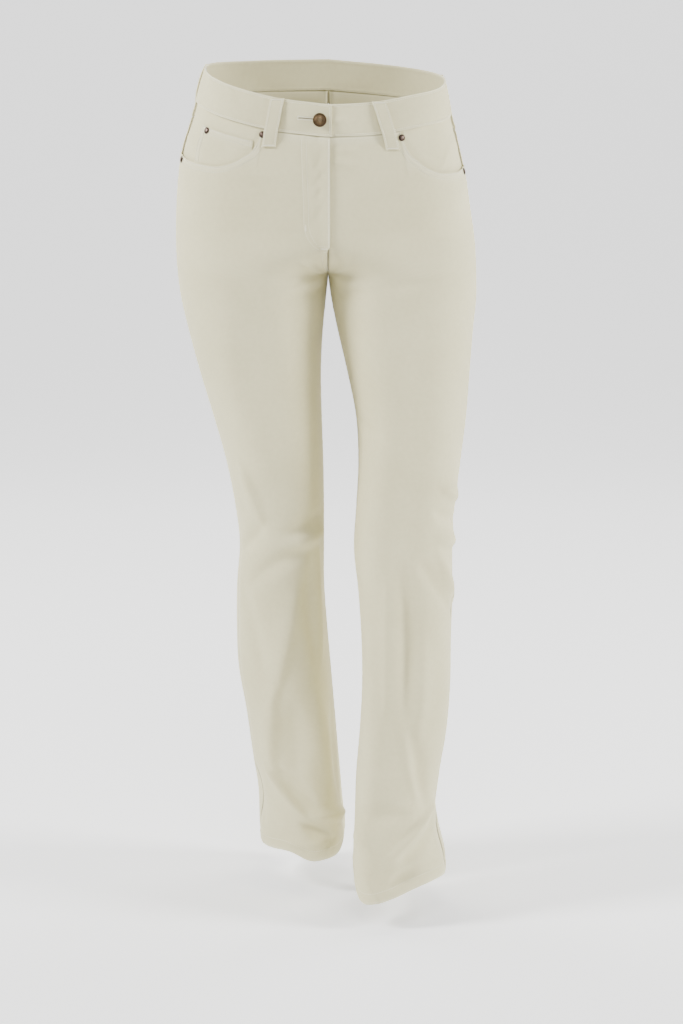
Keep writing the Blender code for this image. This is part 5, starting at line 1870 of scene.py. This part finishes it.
@dataclass
class SewnLines:
    """Where the trousers are sewn."""

    stitching: Stitching
    form: TrousersForm

    def band(self, band: Waistband) -> None:
        """Sews the waistband's top, bottom and lapped end."""
        for half in Half:
            sheet = Waistband(self.form, band.wardrobe, half)
            whole = self.form.whole_at_level(half)
            start = -0.0022 if half is Half.RIGHT else 0.0075
            place = np.linspace(start, whole, 120) / whole
            for down in (0.0030, self.form.band_height - 0.0028):
                z = self.form.waist_z(half, place) - down
                self.stitching.run(sheet, place * self.form.whole(half, z), z)
            if half is Half.RIGHT:
                z = np.linspace(-0.0435, -0.0785, 14)
                self.stitching.run(sheet, np.full(14, -0.0022), z)
        self.stitching.keep("waistband_stitching")

    def fly(self, front: FrontLeg) -> None:
        """Sews the fly's two curved rows, its edge and the rise below it."""
        turn = np.linspace(0, 1, 90)
        for inside in (0.0, 0.0062):
            z = -0.0835 - (0.1465 - 0.0065 * (inside > 0)) * np.sin(turn * math.pi / 2)
            d = front.fly_line(z) - inside
            keep = d > 0.004
            self.stitching.run(front, d[keep], z[keep])
            foot = float(z[keep][-1])
            across = np.linspace(float(d[keep][-1]), 0.001, 6)
            self.stitching.run(front, across, np.full(6, foot - 0.0004))
        z = np.linspace(-0.0850, -0.2200, 60)
        self.stitching.run(front, np.full(60, -0.0008), z)
        z = np.linspace(-0.2330, -0.2620, 20)
        for off in (0.002, 0.008):
            self.stitching.run(front, np.full(20, off), z)
        self.stitching.bar(front, 0.0050, -0.2265, (0.0075, -0.0010))
        self.stitching.bar(front, 0.0285, -0.2000, (0.0, 0.0075))
        self.stitching.keep("fly_stitching")

    def mouths(self, front: FrontLeg) -> None:
        """Sews the two rows under a front pocket's mouth, and the tack at its side."""
        half = front.half
        side = self.form.side_at_level(half)
        corner = self.form.mouth_corner[half] / side
        t = np.linspace(0.0, 1.0, 160) ** 1.6
        share = corner + (1 - corner) * np.clip(t, 0.0, 0.985)
        line = np.stack([share * side, self.form.mouth_z(half, share)], axis=1)
        run = np.gradient(line, axis=0)
        run /= np.linalg.norm(run, axis=1)[:, None]
        for off in (0.0022, 0.0084):
            moved = line + off * np.stack([run[:, 1], -run[:, 0]], axis=1)
            scale = self.form.outseam(half, moved[:, 1]) / side
            seam = self.form.band_seam_z(half, moved[:, 0] / self.form.whole_at_level(half)) - 0.001
            keep = (moved[:, 1] < seam) & (moved[:, 0] * scale < side * scale - 0.001)
            self.stitching.run(front, (moved[:, 0] * scale)[keep], moved[keep, 1])
        self.stitching.keep("pocket_mouth_stitching_" + half.word)

    def coin(self, coin: CoinPocket) -> None:
        """Sews the coin pocket's top and side."""
        side = self.form.side_at_level(coin.half)
        marks = np.linspace(coin.first, coin.last - 0.001, 40)
        place = marks / self.form.whole_at_level(coin.half)
        for down in (0.002, 0.008):
            z = self.form.band_seam_z(coin.half, place) - coin.below_band - down
            self.stitching.run(coin, marks / side * self.form.outseam(coin.half, z), z)
        place = coin.last / self.form.whole_at_level(coin.half)
        top = float(self.form.band_seam_z(coin.half, np.array([place]))[0]) - coin.below_band
        z = np.linspace(top - 0.001, top - 0.055, 24)
        for off in (0.002, 0.008):
            self.stitching.run(coin, (coin.last - off) / side * self.form.outseam(coin.half, z), z)
        self.stitching.keep("coin_pocket_stitching")

    def loops(self, loops: list) -> None:
        """Sews each belt loop's edges and ends."""
        for loop in loops:
            top = float(self.form.waist_z(loop.half, np.array([loop.at]))[0]) - 0.001
            z = np.linspace(top - 0.003, top - loop.length + 0.003, 24)
            middle = loop.middle(z)
            for off in (-1, 1):
                self.stitching.run(loop, middle + off * (loop.width / 2 - 0.0022), z)
            for down in (0.0022, loop.length - 0.0024):
                h = top - down
                at = float(loop.middle(np.array([h]))[0])
                self.stitching.bar(loop, at, h, (0.0145, 0.0))
        self.stitching.keep("belt_loop_stitching")

    def backs(self, yokes: dict, backs: dict, pockets: dict) -> None:
        """Sews the yokes, the back rise and the patch pockets."""
        for half in Half:
            yoke, back, pocket = yokes[half], backs[half], pockets[half]
            share = np.linspace(0.01, 0.985, 80)
            for up in (0.002, 0.008):
                level = np.full(80, self.form.level)
                place = yoke.distances(share, level) / self.form.whole(half, level)
                z = self.form.yoke_seam_z(half, place) + up
                self.stitching.run(yoke, yoke.distances(share, z), z)
            for row in (0.002, 0.008):
                u_in, v_in = row / pocket.width, row / pocket.height
                down = np.linspace(0.012, 1 - v_in, 40)
                self.stitching.run(pocket, *pocket.path(np.full(40, u_in), down))
                self.stitching.run(pocket, *pocket.path(np.full(40, 1 - u_in), down))
                across = np.linspace(u_in, 1 - u_in, 60)
                self.stitching.run(pocket, *pocket.path(across, np.full(60, 1 - v_in)))
            across = np.linspace(0.02, 0.98, 60)
            self.stitching.run(pocket, *pocket.path(across, np.full(60, 0.0145 / pocket.height)))
            for u in (0.032, 0.968):
                d, z = pocket.path(np.array([u]), np.array([0.045]))
                self.stitching.bar(pocket, float(d[0]), float(z[0]), (0.0, 0.0085))
            self.stitching.keep("back_stitching_" + half.word)
        yoke, back = yokes[Half.RIGHT], backs[Half.RIGHT]
        seam = float(self.form.yoke_seam_z(Half.RIGHT, np.array([1.0]))[0])
        for off in (0.002, 0.008):
            z = np.linspace(-0.0275, seam + 0.001, 30)
            self.stitching.run(yoke, self.form.whole(Half.RIGHT, z) - off, z)
            z = np.linspace(seam - 0.001, -0.255, 90)
            self.stitching.run(back, self.form.whole(Half.RIGHT, z) - off, z)
        self.stitching.keep("back_rise_stitching")

    def hems(self, fronts: dict, backs: dict) -> None:
        """Sews the hems."""
        for half in Half:
            front, back = fronts[half], backs[half]
            for sheet, first in ((front, 0.0), (back, 0.5)):
                share = np.linspace(0.004, 0.996, 90)
                edge = self.form.hem.at(half.word, first + share / 2)
                z = sheet.hem_z + edge + sheet.hem_depth - 0.0015
                self.stitching.run(sheet, sheet.distances(share, z), z)
            self.stitching.keep("hem_stitching_" + half.word)

    def buttonhole(self, band: Waistband) -> None:
        """Works the keyhole buttonhole that the button's shank sits in."""
        sheet = Waistband(self.form, band.wardrobe, Half.RIGHT)
        z0, start = -0.0603, 0.0165
        length, pitch = StitchKind.WHIP.value
        slot, eye = 0.0205, 0.0022
        lines = []
        run = np.arange(0.0, slot, pitch)
        for side in (-1, 1):
            lines += [(start + r, side * 0.0013, 0.0, side) for r in run]
        turn = np.arange(-math.pi / 2, math.pi / 2, pitch / eye)
        for a in turn:
            out, up = math.cos(a), math.sin(a)
            lines.append((start + slot + 0.8 * eye * out, eye * up, out, up))
        rows = np.array(lines)
        side = rows[:, 2:] / np.linalg.norm(rows[:, 2:], axis=1)[:, None] * length / 2
        d, h = rows[:, 0], z0 + 0.07 * rows[:, 0] + rows[:, 1]
        a = sheet.point(d - 0.4 * side[:, 0], h - 0.4 * side[:, 1], -0.00030)
        b = sheet.point(d + side[:, 0], h + side[:, 1], 0.00030)
        along = (b - a) / np.linalg.norm(b - a, axis=1)[:, None]
        normal = self.form.normal(Half.RIGHT, d, h)
        self.stitching.put((a + b) / 2, along, normal, np.linalg.norm(b - a, axis=1))
        self.stitching.keep("buttonhole_stitching")
        # A row of dark grains along the slit paints the shade inside the buttonhole's opening.
        d = np.linspace(start, start + slot + 0.0006, 30)
        self.stitching.run(sheet, d, z0 + 0.07 * d, StitchKind.CUT)
        self.stitching.keep("buttonhole_painted_slit_shade", band.wardrobe.painted_slit_shade)


@dataclass
class Studio:
    """A plain pale sweep, soft lights and the camera."""

    floor_z: float = -1.118
    camera_at: tuple = (0.018, -3.8, 0.06)
    pitch_down: float = 9.79
    focal_px: float = 2815.0
    frame_px: float = 1024.0
    sensor: float = 36.0

    def sweep(self) -> None:
        """Makes the floor, which curves up into a back wall and glows as a soft light."""
        bpy.ops.object.select_all(action="DESELECT")
        bpy.ops.mesh.primitive_plane_add(size=14.0, location=(0.0, 0.0, self.floor_z))
        floor = bpy.context.object
        floor.name = "studio_sweep"
        bpy.ops.object.mode_set(mode="EDIT")
        bpy.ops.mesh.select_mode(type="EDGE")
        bpy.ops.mesh.select_all(action="DESELECT")
        bpy.ops.object.mode_set(mode="OBJECT")
        mesh = floor.data
        for edge in mesh.edges:
            edge.select = all(mesh.vertices[i].co.y > 6.0 for i in edge.vertices)
        bpy.ops.object.mode_set(mode="EDIT")
        bpy.ops.mesh.extrude_region_move(TRANSFORM_OT_translate={"value": (0.0, 0.0, 7.0)})
        bpy.ops.object.mode_set(mode="OBJECT")
        bend = floor.modifiers.new("bend", "BEVEL")
        bend.width, bend.segments = 2.5, 16
        bend.limit_method = "ANGLE"
        apply_all(floor)
        bpy.ops.object.shade_smooth()
        paint = bpy.data.materials.new("studio_paper")
        paint.use_nodes = True
        shader = paint.node_tree.nodes["Principled BSDF"]
        shader.inputs["Base Color"].default_value = (0.90, 0.90, 0.90, 1.0)
        shader.inputs["Roughness"].default_value = 0.9
        # The sweep glows, dim on the near floor and bright on the back wall, so it also lights the
        # trousers softly from below and behind.
        shader.inputs["Emission Color"].default_value = (1.0, 1.0, 1.0, 1.0)
        place = paint.node_tree.nodes.new("ShaderNodeTexCoord")
        split = paint.node_tree.nodes.new("ShaderNodeSeparateXYZ")
        paint.node_tree.links.new(place.outputs["Object"], split.inputs["Vector"])
        glow = paint.node_tree.nodes.new("ShaderNodeMapRange")
        glow.inputs["From Min"].default_value, glow.inputs["From Max"].default_value = -1.0, 3.0
        glow.inputs["To Min"].default_value, glow.inputs["To Max"].default_value = 0.25, 1.15
        paint.node_tree.links.new(split.outputs["Y"], glow.inputs["Value"])
        paint.node_tree.links.new(glow.outputs["Result"], shader.inputs["Emission Strength"])
        floor.data.materials.append(paint)

    def light(self, name: str, at: tuple, aim: tuple, size: float, power: float) -> None:
        """Adds a soft light.

        Args:
            name: Its name.
            at: Where it is.
            aim: What it points at.
            size: Its width.
            power: Its power.
        """
        bpy.ops.object.light_add(type="AREA", location=at)
        lamp = bpy.context.object
        lamp.name = name
        lamp.data.shape = "SQUARE"
        lamp.data.size = size
        lamp.data.energy = power
        lamp.rotation_euler = (Vector(aim) - Vector(at)).to_track_quat("-Z", "Y").to_euler()

    def build(self) -> None:
        """Sets the stage, the lights and the camera."""
        self.sweep()
        world = bpy.data.worlds.new("studio")
        bpy.context.scene.world = world
        world.use_nodes = True
        world.node_tree.nodes["Background"].inputs["Color"].default_value = (1.0, 1.0, 1.0, 1.0)
        world.node_tree.nodes["Background"].inputs["Strength"].default_value = 0.10
        self.light("key", (-2.6, -1.0, 1.4), (0.0, 0.0, -0.45), 0.9, 185.0)
        self.light("cross", (2.6, -0.8, 0.7), (0.0, 0.0, -0.5), 0.9, 130.0)
        self.light("top", (0.2, -2.6, 2.4), (0.0, 0.0, -0.3), 1.0, 42.0)
        self.light("rim", (-1.9, 1.9, 1.4), (0.0, 0.0, -0.4), 1.6, 60.0)
        self.light("rim_left", (2.2, 1.8, 1.2), (0.0, 0.0, -0.4), 1.6, 60.0)
        bpy.ops.object.camera_add(location=self.camera_at)
        camera = bpy.context.object
        camera.rotation_euler = (math.radians(90 - self.pitch_down), 0.0, 0.0)
        camera.data.sensor_width = self.sensor
        camera.data.lens = self.sensor * self.focal_px / self.frame_px
        camera.data.clip_start, camera.data.clip_end = 0.05, 60.0
        bpy.context.scene.camera = camera


def main() -> None:
    """Makes every piece of the trousers, sews them and sets the studio."""
    logging.basicConfig(level=logging.INFO, format="%(name)s %(message)s")
    form, wardrobe = TrousersForm(), Wardrobe()
    fronts = {half: FrontLeg(form, wardrobe, half) for half in Half}
    backs = {half: BackLeg(form, wardrobe, half) for half in Half}
    yokes = {half: Yoke(form, wardrobe, half) for half in Half}
    pockets = {half: BackPocket(form, wardrobe, half) for half in Half}
    for half in Half:
        fronts[half].build()
        backs[half].build()
        yokes[half].build()
        PocketFacing(form, wardrobe, half).build()
        pockets[half].build()
    FlyUnderlap(form, wardrobe, Half.LEFT).build()
    coin = CoinPocket(form, wardrobe, Half.RIGHT)
    coin.build()
    band = Waistband(form, wardrobe, Half.RIGHT)
    band.build()
    loops = [
        BeltLoop(form, wardrobe, Half.RIGHT, node="belt_loop_front_right", at=0.147, lean=0.065),
        BeltLoop(form, wardrobe, Half.LEFT, node="belt_loop_front_left", at=0.166, lean=0.19),
        BeltLoop(form, wardrobe, Half.RIGHT, node="belt_loop_side_right", at=0.560, length=0.060),
        BeltLoop(form, wardrobe, Half.LEFT, node="belt_loop_side_left", at=0.590, length=0.060),
        BeltLoop(form, wardrobe, Half.RIGHT, node="belt_loop_back", at=1.0, length=0.060),
    ]
    for loop in loops:
        loop.build()
    Hardware(form, wardrobe, band, fronts, coin).build()
    lines = SewnLines(Stitching(form, wardrobe), form)
    lines.band(band)
    lines.fly(fronts[Half.RIGHT])
    for half in Half:
        lines.mouths(fronts[half])
    lines.coin(coin)
    lines.loops(loops)
    lines.backs(yokes, backs, pockets)
    lines.hems(fronts, backs)
    lines.buttonhole(band)
    Studio().build()


if __name__ == "__main__":
    main()
